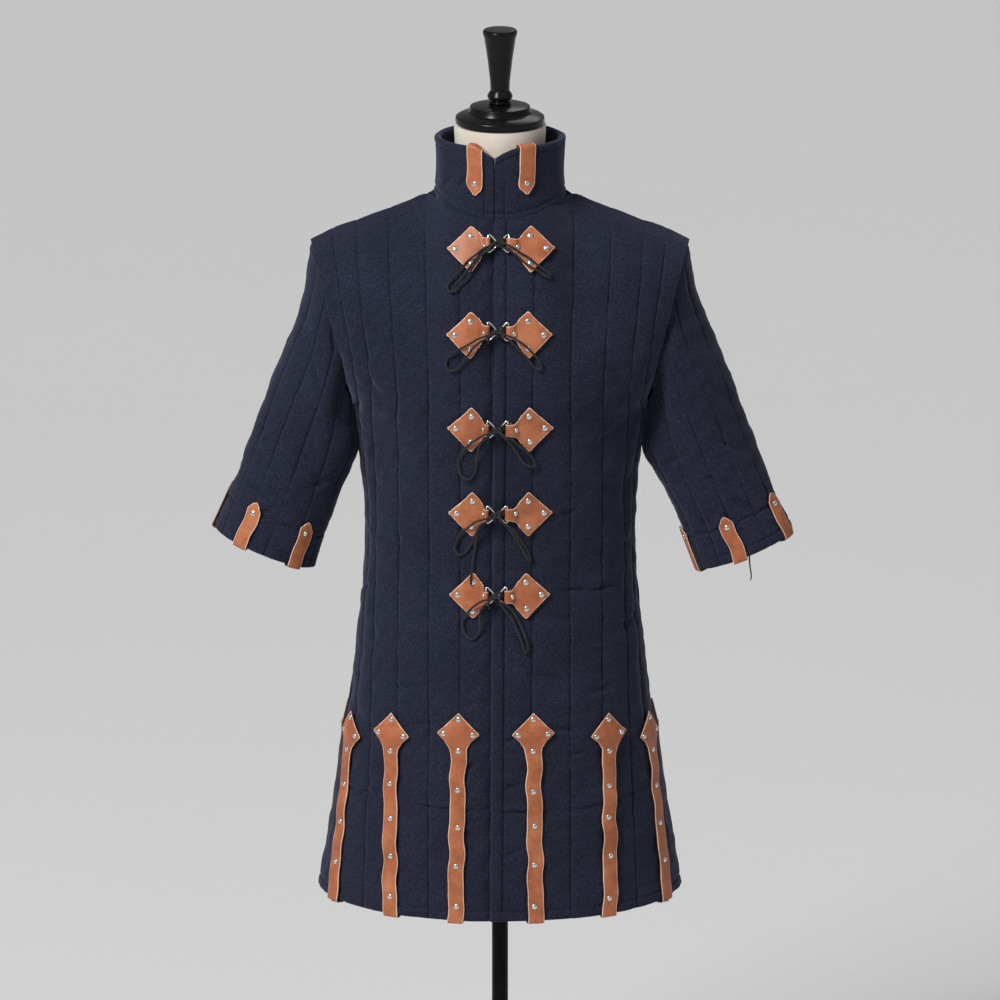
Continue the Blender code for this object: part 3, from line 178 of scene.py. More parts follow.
# A soft fold in a panel: where its middle lies (arc from the panel's centre line, or round a
# sleeve, and height), its length, its lean in degrees, and its depth and half width in
# millimetres. A positive depth is a trough, a negative one a ridge.
FOLDS = {
    "front_right": (
        Fold(0.060, 0.7090, 0.150, 1, 0.8, 2.2), Fold(0.060, 0.7125, 0.150, 1, -0.5, 2.6),
        Fold(0.190, 0.7150, 0.120, -2, 0.6, 2.4), Fold(0.190, 0.7190, 0.110, -2, -0.5, 3.0),
        Fold(0.095, 0.8190, 0.050, -6, 0.8, 3.4), Fold(0.100, 0.7890, 0.042, 5, 0.6, 3.0),
        Fold(0.105, 0.8760, 0.088, -5, -0.5, 4.5), Fold(0.115, 0.8660, 0.080, -8, 0.6, 4.0),
        Fold(0.080, 1.0150, 0.060, 38, 0.9, 5.0), Fold(0.100, 0.9900, 0.075, 42, -0.5, 7.0),
        Fold(0.075, 0.9550, 0.070, 16, 0.6, 6.0), Fold(0.130, 0.9300, 0.055, -10, 0.5, 5.0),
        Fold(0.150, 1.0600, 0.050, -8, 0.6, 4.5), Fold(0.110, 1.1150, 0.040, 12, 0.5, 4.5),
        Fold(0.160, 1.1900, 0.060, -20, 0.5, 6.0), Fold(0.030, 0.6760, 0.035, 30, 0.7, 3.0),
        Fold(0.170, 1.2750, 0.070, 52, 0.7, 6.5), Fold(0.030, 0.8500, 0.030, -20, 0.6, 3.6),
        Fold(0.120, 1.3600, 0.085, 64, 0.5, 8.0), Fold(0.065, 1.4600, 0.060, 48, 0.7, 5.0),
        Fold(0.025, 0.7700, 0.040, -35, 0.8, 3.4), Fold(0.215, 0.9800, 0.050, -14, 0.7, 4.5),
    ),
    "front_left": (
        Fold(0.045, 0.7060, 0.090, -1, 0.8, 2.2), Fold(0.045, 0.7095, 0.090, -1, -0.5, 2.6),
        Fold(0.130, 0.7050, 0.070, 3, 0.6, 2.4), Fold(0.200, 0.7120, 0.080, 4, 0.4, 2.8),
        Fold(0.030, 0.8060, 0.038, 24, 0.8, 3.0), Fold(0.032, 0.7850, 0.034, -18, 0.7, 2.8),
        Fold(0.030, 0.7420, 0.030, 14, 0.7, 2.6), Fold(0.028, 0.6500, 0.036, 26, 0.7, 3.0),
        Fold(0.029, 0.6230, 0.030, -16, 0.6, 2.8), Fold(0.100, 0.8130, 0.055, -16, 0.7, 3.6),
        Fold(0.115, 0.7800, 0.045, 8, 0.6, 3.2), Fold(0.075, 0.8850, 0.060, -14, 0.7, 4.5),
        Fold(0.110, 0.9980, 0.050, -4, 0.9, 3.4), Fold(0.155, 0.9950, 0.060, 2, 0.8, 3.2),
        Fold(0.095, 0.9600, 0.055, -12, 0.6, 5.0), Fold(0.045, 0.9300, 0.040, -30, 0.6, 4.0),
        Fold(0.100, 1.1050, 0.045, 10, 0.6, 4.5), Fold(0.130, 1.1450, 0.060, -6, -0.4, 6.0),
        Fold(0.165, 1.2050, 0.070, 24, 0.6, 6.0), Fold(0.175, 1.2850, 0.075, -50, 0.7, 6.5),
        Fold(0.110, 1.3500, 0.080, -66, 0.5, 8.0), Fold(0.070, 1.4550, 0.060, -46, 0.6, 5.0),
        Fold(0.210, 0.9400, 0.055, 12, 0.7, 5.0), Fold(0.150, 0.8600, 0.070, 9, 0.5, 5.0),
    ),
    "back": (
        Fold(-0.090, 0.7100, 0.170, 2, 0.8, 2.4), Fold(-0.090, 0.7138, 0.165, 2, -0.5, 2.8),
        Fold(0.110, 0.7040, 0.150, -2, 0.7, 2.4), Fold(-0.070, 0.8200, 0.060, -14, 0.7, 3.6),
        Fold(0.080, 0.8350, 0.055, 12, 0.7, 3.4), Fold(0.020, 0.8650, 0.080, 5, 0.6, 4.5),
        Fold(-0.030, 1.0250, 0.110, -8, 0.9, 5.0), Fold(0.060, 1.0050, 0.095, 10, 0.8, 5.0),
        Fold(0.015, 1.0480, 0.075, 3, -0.5, 6.0), Fold(-0.120, 0.9850, 0.080, -24, 0.7, 5.0),
        Fold(0.135, 0.9700, 0.070, 28, 0.7, 5.0), Fold(-0.060, 1.1100, 0.060, 9, 0.5, 5.0),
        Fold(-0.160, 1.1900, 0.080, -44, 0.8, 6.5), Fold(0.165, 1.2000, 0.085, 46, 0.8, 6.5),
        Fold(-0.100, 1.3200, 0.090, -66, 0.6, 8.0), Fold(0.110, 1.3350, 0.080, 62, 0.6, 8.0),
        Fold(0.000, 1.4550, 0.100, 2, 0.6, 6.5), Fold(-0.200, 0.8600, 0.060, 12, 0.6, 5.0),
        Fold(0.190, 0.9000, 0.065, -9, 0.6, 5.0), Fold(0.030, 0.6300, 0.050, 24, 0.5, 3.6),
    ),
    "sleeve_right": (
        Fold(0.060, 1.1150, 0.070, -28, 0.8, 4.0), Fold(0.075, 1.0900, 0.055, 32, 0.9, 4.0),
        Fold(0.095, 1.1050, 0.060, 48, -0.5, 5.0), Fold(0.040, 1.1700, 0.060, -34, 0.5, 4.5),
        Fold(0.110, 1.1700, 0.055, -30, 0.7, 4.5), Fold(0.120, 1.2300, 0.060, -38, 0.6, 5.0),
        Fold(0.100, 1.2800, 0.070, -48, 0.7, 5.5), Fold(0.130, 1.3300, 0.070, -60, 0.9, 5.5),
        Fold(0.150, 1.1300, 0.060, 20, 0.7, 5.0), Fold(0.330, 1.1500, 0.080, 26, 0.8, 5.0),
        Fold(0.300, 1.2200, 0.070, 34, 0.7, 5.5), Fold(0.360, 1.1000, 0.060, -20, 0.6, 4.5),
    ),
    "sleeve_left": (
        Fold(0.060, 1.1800, 0.080, 30, 0.8, 4.5), Fold(0.085, 1.1300, 0.070, 24, 0.9, 4.5),
        Fold(0.070, 1.1000, 0.065, 46, 0.9, 4.0), Fold(0.100, 1.0850, 0.050, 28, 0.7, 4.0),
        Fold(0.110, 1.2100, 0.060, 26, 0.6, 5.0), Fold(0.050, 1.2500, 0.070, 40, 0.5, 5.5),
        Fold(0.105, 1.2850, 0.070, 46, 0.7, 5.5), Fold(0.130, 1.3350, 0.060, 60, 0.9, 5.5),
        Fold(0.150, 1.1600, 0.055, -16, 0.7, 5.0), Fold(0.330, 1.1650, 0.080, -24, 0.8, 5.0),
        Fold(0.300, 1.2350, 0.070, -34, 0.7, 5.5), Fold(0.360, 1.1100, 0.060, 18, 0.6, 4.5),
    ),
    "collar": (
        Fold(0.045, 1.5400, 0.045, -46, 0.6, 3.4), Fold(0.075, 1.5350, 0.050, -40, 0.5, 4.0),
        Fold(0.460, 1.5450, 0.050, 38, 0.6, 3.6), Fold(0.250, 1.5500, 0.080, 10, 0.5, 5.0),
        Fold(0.330, 1.5400, 0.060, -22, 0.5, 5.0), Fold(0.160, 1.5450, 0.055, 30, 0.5, 5.0),
    ),
}

STITCH = 0.0026           # length of one stitch
STITCH_PITCH = 0.0042
THREAD = 0.00030

# --- Leather --------------------------------------------------------------------------------
LEATHER = 0.0018
LEATHER_GAP = 0.0008
CREST_RISE = 0.0014
STRAP_WIDTH = 0.0215
HEAD_HALF = 0.0280
HemStrap = namedtuple("HemStrap", "name side arc head_arc head_z")
STRAP_ROWS = {
    "front": ((0.0530, 0.0490, 0.8120), (0.1495, 0.1500, 0.8010), (0.2460, 0.2330, 0.7830)),
    "back": ((0.0530, 0.0500, 0.8080), (0.1600, 0.1550, 0.7980), (0.2680, 0.2500, 0.7830)),
}
HEM_STRAPS = tuple(
    HemStrap("hem_strap_%s_%s_%d" % (panel, side, order), (panel, side), *row)
    for panel in ("front", "back")
    for side in ("right", "left")
    for order, row in enumerate(STRAP_ROWS[panel], start=1))
PATCH_HALF = 0.0312
PATCH_NECK = 0.0080
PATCH_END = 0.0137
CLOSURE_SHIFT = 0.0052
Closure = namedtuple("Closure", "height drop right left")
CLOSURES = (
    Closure(1.4640, 0.0070, 0.0354, 0.0419),
    Closure(1.3575, 0.0040, 0.0356, 0.0393),
    Closure(1.2270, 0.0000, 0.0340, 0.0416),
    Closure(1.1090, 0.0000, 0.0322, 0.0412),
    Closure(0.9965, 0.0000, 0.0305, 0.0388),
)
COLLAR_TAB = 0.063
COLLAR_TAB_WIDTH = 0.0230
COLLAR_TAB_ANGLE = {"right": -21.0, "left": 25.0}
CUFF_TAB = 0.064
CUFF_TAB_WIDTH = 0.0200
CUFF_TABS = 5
CUFF_TAB_START = {"right": -0.0150, "left": 0.0260}
FOLD_RETURN = 0.020
STRIP_STEP = 0.0021       # spacing of a strip's rows
STRIP_SHARES = (-1, -0.96, -0.90, -0.80, -0.71, -0.58, -0.38, -0.18, 0,
                0.18, 0.38, 0.58, 0.71, 0.80, 0.90, 0.96, 1)
ROUNDED_EDGE = 0.0005     # how far a strip's edges are rounded off
PALE_BORDER = 0.0009      # width of the worn line along its edges
BORDER = 0.0024           # the pressed line lies this far inside a strip's edge
BORDER_LINE = Line(0.0004, 0.0006)
STUD_DENT = 0.0005        # how deep a stud presses the leather in
CLOSEST_ROWS = 0.0002     # rows of a strip nearer than this are merged
RIVET = 0.0040            # radius of a patch's rivets
SMALL_RIVET = 0.0038
STRAP_RIVETS = (              # distances down a strap from the tip of its head
    (0.1050, 0.1530, 0.2080, 0.2630), (0.0957, 0.1395, 0.1930, 0.2490),
    (0.0985, 0.1500, 0.2030, 0.2590))

# --- Rings and laces ------------------------------------------------------------------------
RING_WIRE = 0.0010
WIRE_FULLNESS = 1.25
RING_REACH = 0.0125
RING_HALF = 0.0128
RING_RISE = 0.0010
RING_HEIGHT = 0.0052
RING_ROOM = 0.0008
LACE = 0.0014
# Each bow is in its closure's own frame: x across from the tie, z up from it, and height off
# the cloth, in millimetres.
Point = namedtuple("Point", "x z height")
Bow = namedtuple("Bow", "tail left right")
THROUGH_RINGS = (Point(-7.5, 0, 6.5), Point(-5, 0, 2.5), Point(0, 0, 2.4), Point(5, 0, 2.5),
                 Point(8, 1, 6), Point(6, 6, 9.5), Point(0, 5, 10.5), Point(-4, -2, 11.5))
OVER_KNOT = (Point(-4, 0, 14.5), Point(3, -1, 15))
LACE_END = (Point(4, -6, 11),)
BOWS = (
    Bow(
        tail=(Point(-56, -55, 3.5), Point(-46, -42, 3.5), Point(-35, -28, 6), Point(-24, -14, 9.5),
              Point(-13, -5, 12)),
        left=(Point(-18, -7, 13), Point(-29, -15, 10), Point(-39, -22, 6), Point(-47, -31, 4),
              Point(-54, -40, 3.5), Point(-61, -49, 3.5), Point(-66, -57, 3.5),
              Point(-64, -65, 3.5), Point(-57, -64, 3.5), Point(-50, -55, 3.5),
              Point(-41, -46, 3.5), Point(-34, -33, 7.5), Point(-25, -19, 10.5),
              Point(-14, -10, 13.5)),
        right=(Point(14, -4, 14), Point(28, -12, 8.5), Point(40, -19, 6), Point(50, -28, 5.5),
               Point(60, -36, 3.5), Point(66, -41, 3.5), Point(63, -45, 3.5), Point(56, -40, 3.5),
               Point(47, -34, 5.5), Point(37, -28, 6.5), Point(26, -18, 8.5), Point(13, -8, 11.5))),
    Bow(
        tail=(Point(-13, -14, 10), Point(-12, -9, 10.5), Point(-10, -4, 9.5)),
        left=(Point(-14, -4, 14), Point(-26, -8, 11), Point(-39, -16, 7.5), Point(-50, -22, 6),
              Point(-60, -29, 4.5), Point(-66, -37, 3.5), Point(-67, -46, 3.5),
              Point(-62, -52, 3.5), Point(-54, -49, 3.5), Point(-46, -40, 4.5),
              Point(-39, -30, 6.5), Point(-32, -20, 9), Point(-23, -12, 11.5), Point(-12, -6, 14)),
        right=(Point(14, -4, 14), Point(24, -9, 9.5), Point(34, -16, 7), Point(43, -25, 6),
               Point(51, -34, 4.5), Point(56, -43, 3.5), Point(54, -50, 3.5), Point(48, -47, 3.5),
               Point(41, -38, 4.5), Point(33, -28, 6.5), Point(23, -18, 9), Point(12, -8, 12))),
    Bow(
        tail=(Point(-12, -16, 10), Point(-12, -10, 10.5), Point(-10, -4, 9.5)),
        left=(Point(-13, -2, 14), Point(-21, -6, 12.5), Point(-30, -14, 8.5), Point(-39, -23, 6),
              Point(-47, -33, 3.5), Point(-51, -47, 3.5), Point(-49, -59, 3.5),
              Point(-45, -67, 3.5), Point(-39, -70, 3.5), Point(-33, -66, 3.5),
              Point(-29, -58, 3.5), Point(-27, -46, 3.5), Point(-26, -33, 8),
              Point(-23, -19, 10.5), Point(-15, -8, 13.5)),
        right=(Point(8, -6, 14), Point(16, -16, 10), Point(24, -28, 7), Point(31, -41, 4),
               Point(38, -50, 3.5), Point(45, -52, 3.5), Point(49, -48, 3.5), Point(45, -39, 3.5),
               Point(37, -30, 5), Point(27, -20, 8), Point(15, -9, 11.5))),
    Bow(
        tail=(Point(-34, -96, 5.5), Point(-34, -86, 5.5), Point(-32, -72, 3.5),
              Point(-29, -50, 3.5), Point(-27, -34, 6), Point(-24, -20, 9), Point(-13, -6, 12)),
        left=(Point(-11, -1, 14), Point(-20, -4, 12.5), Point(-29, -9, 9), Point(-37, -17, 7),
              Point(-46, -25, 4), Point(-52, -36, 3.5), Point(-55, -46, 3.5),
              Point(-52, -55, 3.5), Point(-47, -57, 3.5), Point(-41, -53, 3.5),
              Point(-35, -44, 3.5), Point(-31, -35, 5), Point(-27, -23, 9.5), Point(-21, -11, 12),
              Point(-12, -5, 14)),
        right=(Point(7, -6, 14), Point(15, -16, 10.5), Point(24, -30, 7), Point(31, -43, 4),
               Point(37, -55, 3.5), Point(42, -64, 3.5), Point(44, -62, 3.5), Point(41, -53, 3.5),
               Point(35, -42, 3.5), Point(28, -30, 6.5), Point(18, -17, 9.5))),
    Bow(
        tail=(Point(-9, -15, 10), Point(-10, -9, 10.5), Point(-9, -4, 9.5)),
        left=(Point(-11, -2, 14), Point(-20, -5, 12.5), Point(-29, -12, 9), Point(-37, -21, 6.5),
              Point(-43, -31, 4), Point(-44, -42, 3.5), Point(-40, -52, 3.5),
              Point(-33, -58, 3.5), Point(-26, -54, 3.5), Point(-22, -45, 4.5),
              Point(-21, -34, 6.5), Point(-22, -23, 10.5), Point(-18, -12, 12.5),
              Point(-10, -6, 14)),
        right=(Point(6, -9, 14), Point(14, -20, 10), Point(22, -32, 7), Point(28, -46, 3.5),
               Point(33, -61, 3.5), Point(36, -72, 3.5), Point(39, -76, 3.5), Point(41, -70, 3.5),
               Point(39, -57, 3.5), Point(34, -43, 3.5), Point(27, -28, 7), Point(16, -13, 10.5))),
)
LACE_STEP = 0.0012
BRAID = 0.0030            # length of one crossing of the braid
CUFF_LACE = 0.0012
CUFF_LACE_POINTS = ((0.3300, -0.0330, 1.0400), (0.3290, -0.0352, 1.0300),
                    (0.3290, -0.0360, 1.0180), (0.3305, -0.0362, 1.0060),
                    (0.3315, -0.0360, 0.9980), (0.3302, -0.0358, 0.9930))

# --- Dress form and stand -------------------------------------------------------------------
FormRing = namedtuple("FormRing", "z half_width half_depth")
FORM = (
    FormRing(0.855, 0.120, 0.080), FormRing(0.862, 0.150, 0.096), FormRing(0.885, 0.160, 0.102),
    FormRing(0.955, 0.155, 0.100), FormRing(1.040, 0.147, 0.096), FormRing(1.120, 0.152, 0.101),
    FormRing(1.200, 0.164, 0.108), FormRing(1.290, 0.174, 0.110), FormRing(1.370, 0.174, 0.100),
    FormRing(1.420, 0.160, 0.084), FormRing(1.448, 0.130, 0.070), FormRing(1.470, 0.098, 0.062),
    FormRing(1.490, 0.074, 0.059), FormRing(1.520, 0.0615, 0.0575), FormRing(1.602, 0.0600, 0.0570),
)
Step = namedtuple("Step", "radius z")
CAP = (Step(0.0000, 1.6030), Step(0.0560, 1.6030), Step(0.0580, 1.6050), Step(0.0585, 1.6080),
       Step(0.0580, 1.6125), Step(0.0530, 1.6155), Step(0.0420, 1.6180), Step(0.0405, 1.6210),
       Step(0.0390, 1.6265), Step(0.0300, 1.6290), Step(0.0000, 1.6300))
FINIAL = (Step(0.0000, 1.6303), Step(0.0140, 1.6303), Step(0.0150, 1.6320),
          Step(0.0120, 1.6340), Step(0.0160, 1.6370), Step(0.0166, 1.6400),
          Step(0.0150, 1.6435), Step(0.0125, 1.6470), Step(0.0130, 1.6600),
          Step(0.0165, 1.6900), Step(0.0208, 1.7180), Step(0.0226, 1.7230),
          Step(0.0226, 1.7260), Step(0.0205, 1.7285), Step(0.0000, 1.7300))
POLE_RADIUS = 0.0107
POLE_TOP = FORM[0].z - 0.0003
BASE_RADIUS = 0.200
STAND = (Step(0.0000, 0.0000), Step(0.1970, 0.0000), Step(BASE_RADIUS, 0.0030),
         Step(BASE_RADIUS, 0.0100), Step(0.1960, 0.0135), Step(0.0320, 0.0230),
         Step(0.0260, 0.0280), Step(0.0250, 0.0600), Step(0.0230, 0.0620),
         Step(POLE_RADIUS, 0.0620), Step(POLE_RADIUS, POLE_TOP), Step(0.0000, POLE_TOP))
TURNED_STEPS = 96

# --- View -----------------------------------------------------------------------------------
CAMERA_DISTANCE = 12.0
CAMERA_PITCH = math.radians(15.5)
CAMERA_AIM = Vector((0.0, 0.0, 1.0928))
FOCAL_LENGTH = 327.3
FLOOR_SIZE = 90.0
KEY_PLACE = Vector((-1.7, -2.3, 3.5))
KEY_AIM = Vector((0.0, 0.0, 1.35))
KEY_POWER = 62.0
KEY_SIZE = 0.8
Sun = namedtuple("Sun", "name strength width elevation azimuth")
SUNS = (Sun("sky", 1.75, 14.0, -46.0, -44.0), Sun("fill", 0.20, 40.0, -55.0, 60.0),
        Sun("rim", 0.40, 30.0, -40.0, 165.0))
WORLD_STRENGTH = 0.25


# --- Node materials -------------------------------------------------------------------------
def new_material(name, **values):
    """A Principled material; each value is set on the shader's own socket."""
    material = bpy.data.materials.new(name)
    material.use_nodes = True
    shader = material.node_tree.nodes["Principled BSDF"]
    for socket, value in values.items():
        shader.inputs[socket.replace("_", " ")].default_value = value
    return material, material.node_tree, shader


def node(tree, kind, **settings):
    made = tree.nodes.new(kind)
    for name, value in settings.items():
        if name in made.inputs:
            made.inputs[name].default_value = value
        else:
            setattr(made, name, value)
    return made


def object_position(tree):
    return node(tree, "ShaderNodeTexCoord").outputs["Object"]


def noise_of(tree, place, scale, detail=2.0, roughness=0.5):
    texture = node(tree, "ShaderNodeTexNoise", Scale=scale, Detail=detail, Roughness=roughness)
    tree.links.new(place, texture.inputs["Vector"])
    return texture.outputs["Fac"]


def ramp_of(tree, value, stops):
    """A colour ramp through (position, colour) stops."""
    ramp = node(tree, "ShaderNodeValToRGB")
    elements = ramp.color_ramp.elements
    while len(elements) < len(stops):
        elements.new(0.5)
    for element, (position, color) in zip(elements, stops):
        element.position = position
        element.color = (*color, 1.0)
    tree.links.new(value, ramp.inputs["Fac"])
    return ramp.outputs["Color"]


def mixed(tree, kind, factor, first, second):
    """Two colours mixed; a factor or a colour may be an output or a plain value."""
    mix = node(tree, "ShaderNodeMix", data_type="RGBA", blend_type=kind)
    for socket, value in ((mix.inputs[0], factor), (mix.inputs[6], first), (mix.inputs[7], second)):
        if isinstance(value, bpy.types.NodeSocket):
            tree.links.new(value, socket)
        else:
            socket.default_value = value
    return mix.outputs[2]


def bumped(tree, shader, layers):
    """Stacks bumps of (height output, strength, distance) on the shader's normal."""
    normal = None
    for height, strength, distance in layers:
        bump = node(tree, "ShaderNodeBump", Strength=strength, Distance=distance)
        tree.links.new(height, bump.inputs["Height"])
        if normal:
            tree.links.new(normal, bump.inputs["Normal"])
        normal = bump.outputs["Normal"]
    tree.links.new(normal, shader.inputs["Normal"])


def weave_of(tree, place, pitch):
    """The height of a plain twill: two sets of threads that cross."""
    total = None
    for direction in ("X", "Z"):
        wave = node(tree, "ShaderNodeTexWave", bands_direction=direction, Scale=1 / (6.3 * pitch),
                    Distortion=1.6, Detail=1.0)
        tree.links.new(place, wave.inputs["Vector"])
        if total is None:
            total = wave.outputs["Fac"]
        else:
            joined = node(tree, "ShaderNodeMath", operation="MULTIPLY")
            tree.links.new(total, joined.inputs[0])
            tree.links.new(wave.outputs["Fac"], joined.inputs[1])
            total = joined.outputs["Value"]
    return total


def wool_material():
    material, tree, shader = new_material(
        "navy_wool", Roughness=0.93, Sheen_Weight=0.16, Sheen_Roughness=0.45,
        Sheen_Tint=(0.55, 0.60, 0.85, 1.0), Specular_IOR_Level=0.18)
    place = object_position(tree)
    fleck = noise_of(tree, place, 520.0, 4.0, 0.75)
    cloud = noise_of(tree, place, 14.0, 3.0, 0.6)
    color = ramp_of(tree, fleck, ((0.30, (0.0024, 0.0032, 0.0088)), (0.50, (0.0118, 0.0139, 0.0288)),
                                  (0.70, (0.0320, 0.0362, 0.0650))))
    shade = ramp_of(tree, cloud, ((0.30, (0.84, 0.84, 0.86)), (0.70, (1.10, 1.10, 1.10))))
    tree.links.new(mixed(tree, "MULTIPLY", 1.0, color, shade), shader.inputs["Base Color"])
    bumped(tree, shader, ((weave_of(tree, place, 0.0011), 0.30, 0.0004),
                          (noise_of(tree, place, 700.0, 4.0, 0.7), 0.45, 0.0006),
                          (noise_of(tree, place, 130.0, 3.0, 0.6), 0.25, 0.0010)))
    return material


def leather_material(name, dark, middle, light, roughness):
    material, tree, shader = new_material(name, Roughness=roughness, Specular_IOR_Level=0.42)
    place = object_position(tree)
    cloud = noise_of(tree, place, 30.0, 5.0, 0.62)
    color = ramp_of(tree, cloud, ((0.30, dark), (0.50, middle), (0.72, light)))
    specks = ramp_of(tree, noise_of(tree, place, 620.0, 2.0, 0.6),
                     ((0.33, (0.78, 0.70, 0.64)), (0.50, (1.0, 1.0, 1.0)), (0.75, (1.05, 1.05, 1.05))))
    tree.links.new(mixed(tree, "MULTIPLY", 0.75, color, specks), shader.inputs["Base Color"])
    rough = node(tree, "ShaderNodeMapRange", **{"To Min": roughness - 0.10, "To Max": roughness + 0.12})
    tree.links.new(cloud, rough.inputs["Value"])
    tree.links.new(rough.outputs["Result"], shader.inputs["Roughness"])
    grain = node(tree, "ShaderNodeTexVoronoi", Scale=820.0, feature="DISTANCE_TO_EDGE")
    tree.links.new(place, grain.inputs["Vector"])
    bumped(tree, shader, ((grain.outputs["Distance"], 0.25, 0.0004),
                          (noise_of(tree, place, 220.0, 4.0, 0.65), 0.30, 0.0006)))
    return material


def plain_material(name, color, bump_scale, bump_strength, spread, **values):
    """A finish with a slight mottle and a fine bump."""
    material, tree, shader = new_material(name, **values)
    place = object_position(tree)
    low = tuple(channel * (1 - spread) for channel in color)
    high = tuple(min(channel * (1 + spread), 1.0) for channel in color)
    mottle = noise_of(tree, place, bump_scale / 6, 4.0, 0.6)
    tree.links.new(ramp_of(tree, mottle, ((0.3, low), (0.7, high))), shader.inputs["Base Color"])
    bumped(tree, shader, ((noise_of(tree, place, bump_scale, 3.0, 0.6), bump_strength, 0.0004),))
    return material


def jersey_material():
    material, tree, shader = new_material("cream_jersey", Roughness=0.88, Sheen_Weight=0.2,
                                          Sheen_Roughness=0.5, Specular_IOR_Level=0.2)
    place = object_position(tree)
    cloud = noise_of(tree, place, 30.0, 3.0, 0.6)
    tree.links.new(ramp_of(tree, cloud, ((0.3, (0.66, 0.58, 0.50)), (0.7, (0.76, 0.69, 0.61)))),
                   shader.inputs["Base Color"])
    bumped(tree, shader, ((weave_of(tree, place, 0.0016), 0.35, 0.0005),
                          (noise_of(tree, place, 500.0, 2.0, 0.5), 0.20, 0.0004)))
    return material


def lace_material():
    material, tree, shader = new_material("black_braid", Roughness=0.82, Sheen_Weight=0.25,
                                          Sheen_Roughness=0.4, Specular_IOR_Level=0.25)
    place = object_position(tree)
    strand = noise_of(tree, place, 1500.0, 2.0, 0.6)
    tree.links.new(ramp_of(tree, strand, ((0.35, (0.006, 0.006, 0.007)), (0.65, (0.024, 0.024, 0.026)))),
                   shader.inputs["Base Color"])
    bumped(tree, shader, ((strand, 0.7, 0.0005),))
    return material


def make_materials():
    return {
        "wool": wool_material(),
        "thread": plain_material("navy_thread", (0.010, 0.011, 0.020), 1800.0, 0.4, 0.2, Roughness=0.8),
        "leather": leather_material("tan_leather_face", (0.270, 0.076, 0.030), (0.395, 0.122, 0.048),
                                    (0.515, 0.186, 0.084), 0.48),
        "edge": leather_material("tan_leather_cut_edge", (0.60, 0.36, 0.25), (0.74, 0.50, 0.38),
                                 (0.82, 0.60, 0.48), 0.72),
        # The rim faces of the leather: a burnished brown edge, painted darker to stand for the shadow that
        # the raised edge casts on the cloth.
        "rim": plain_material("burnished_rim_and_painted_shadow", (0.085, 0.034, 0.018), 500.0, 0.2, 0.2, Roughness=0.6),
        "rivet": plain_material("nickel_rivet", (0.70, 0.68, 0.66), 900.0, 0.10, 0.12, Metallic=1.0,
                                Roughness=0.24),
        "wire": plain_material("nickel_wire", (0.80, 0.80, 0.81), 900.0, 0.08, 0.06, Metallic=1.0,
                               Roughness=0.20),
        "lace": lace_material(),
        "jersey": jersey_material(),
        "lacquer": plain_material("black_lacquer_finish", (0.0045, 0.0044, 0.0046), 60.0, 0.05, 0.15,
                                  Roughness=0.24, Specular_IOR_Level=0.20),
        "metal": plain_material("black_powder_coat", (0.0050, 0.0050, 0.0054), 700.0, 0.15, 0.1,
                                Roughness=0.42, Specular_IOR_Level=0.08),
        "floor": plain_material("pale_floor", (0.690, 0.692, 0.694), 3.0, 0.02, 0.01, Roughness=0.95,
                                Specular_IOR_Level=0.0),
    }


# --- Stage ----------------------------------------------------------------------------------
def make_stage(materials):
    """The camera, the floor and the lights."""
    camera = bpy.data.objects.new("camera", bpy.data.cameras.new("camera"))
    camera.data.sensor_width = 36.0
    camera.data.lens = FOCAL_LENGTH
    camera.data.clip_end = 200.0
    back = Vector((0.0, -math.cos(CAMERA_PITCH), math.sin(CAMERA_PITCH)))
    camera.location = CAMERA_AIM + back * CAMERA_DISTANCE
    camera.rotation_euler = (math.pi / 2 - CAMERA_PITCH, 0.0, 0.0)
    bpy.context.scene.collection.objects.link(camera)
    bpy.context.scene.camera = camera
    bpy.context.scene.view_settings.view_transform = "Standard"

    mesh = bpy.data.meshes.new("floor")
    half = FLOOR_SIZE / 2
    mesh.from_pydata([(-half, -half, 0), (half, -half, 0), (half, half, 0), (-half, half, 0)],
                     [], [(0, 1, 2, 3)])
    mesh.materials.append(materials["floor"])
    floor = bpy.data.objects.new("floor", mesh)
    bpy.context.scene.collection.objects.link(floor)

    world = bpy.data.worlds.new("studio")
    world.use_nodes = True
    background = world.node_tree.nodes["Background"]
    background.inputs["Color"].default_value = (1.0, 0.995, 0.985, 1.0)
    background.inputs["Strength"].default_value = WORLD_STRENGTH
    bpy.context.scene.world = world
    for sun in SUNS:
        lamp = bpy.data.lights.new(sun.name, "SUN")
        lamp.energy = sun.strength
        lamp.angle = math.radians(sun.width)
        light = bpy.data.objects.new(sun.name, lamp)
        light.rotation_euler = sun_turn(sun.elevation, sun.azimuth)
        bpy.context.scene.collection.objects.link(light)


def make_key_light():
    """A soft box above the viewer's left, near enough to leave the skirt in softer light."""
    lamp = bpy.data.lights.new("key", "AREA")
    lamp.energy = KEY_POWER
    lamp.size = KEY_SIZE
    light = bpy.data.objects.new("key", lamp)
    light.location = KEY_PLACE
    light.rotation_euler = (KEY_AIM - KEY_PLACE).to_track_quat("-Z", "Y").to_euler()
    bpy.context.scene.collection.objects.link(light)


def sun_turn(elevation, azimuth):
    """Rotation of a sun that is tipped by elevation and swung by azimuth, in degrees."""
    return (math.radians(90 + elevation), 0.0, math.radians(azimuth))


# --- Curves and grids -----------------------------------------------------------------------
def smooth(keys, values, at):
    """Smooth curve through (keys, values), read at each number in at."""
    keys = np.asarray(keys, float)
    values = np.asarray(values, float)
    slopes = np.gradient(values, keys)
    at = np.clip(np.asarray(at, float), keys[0], keys[-1])
    index = np.clip(np.searchsorted(keys, at) - 1, 0, len(keys) - 2)
    width = keys[index + 1] - keys[index]
    t = (at - keys[index]) / width
    return ((1 + 2 * t) * (1 - t) ** 2 * values[index] + t * (1 - t) ** 2 * width * slopes[index]
            + t * t * (3 - 2 * t) * values[index + 1] + t * t * (t - 1) * width * slopes[index + 1])


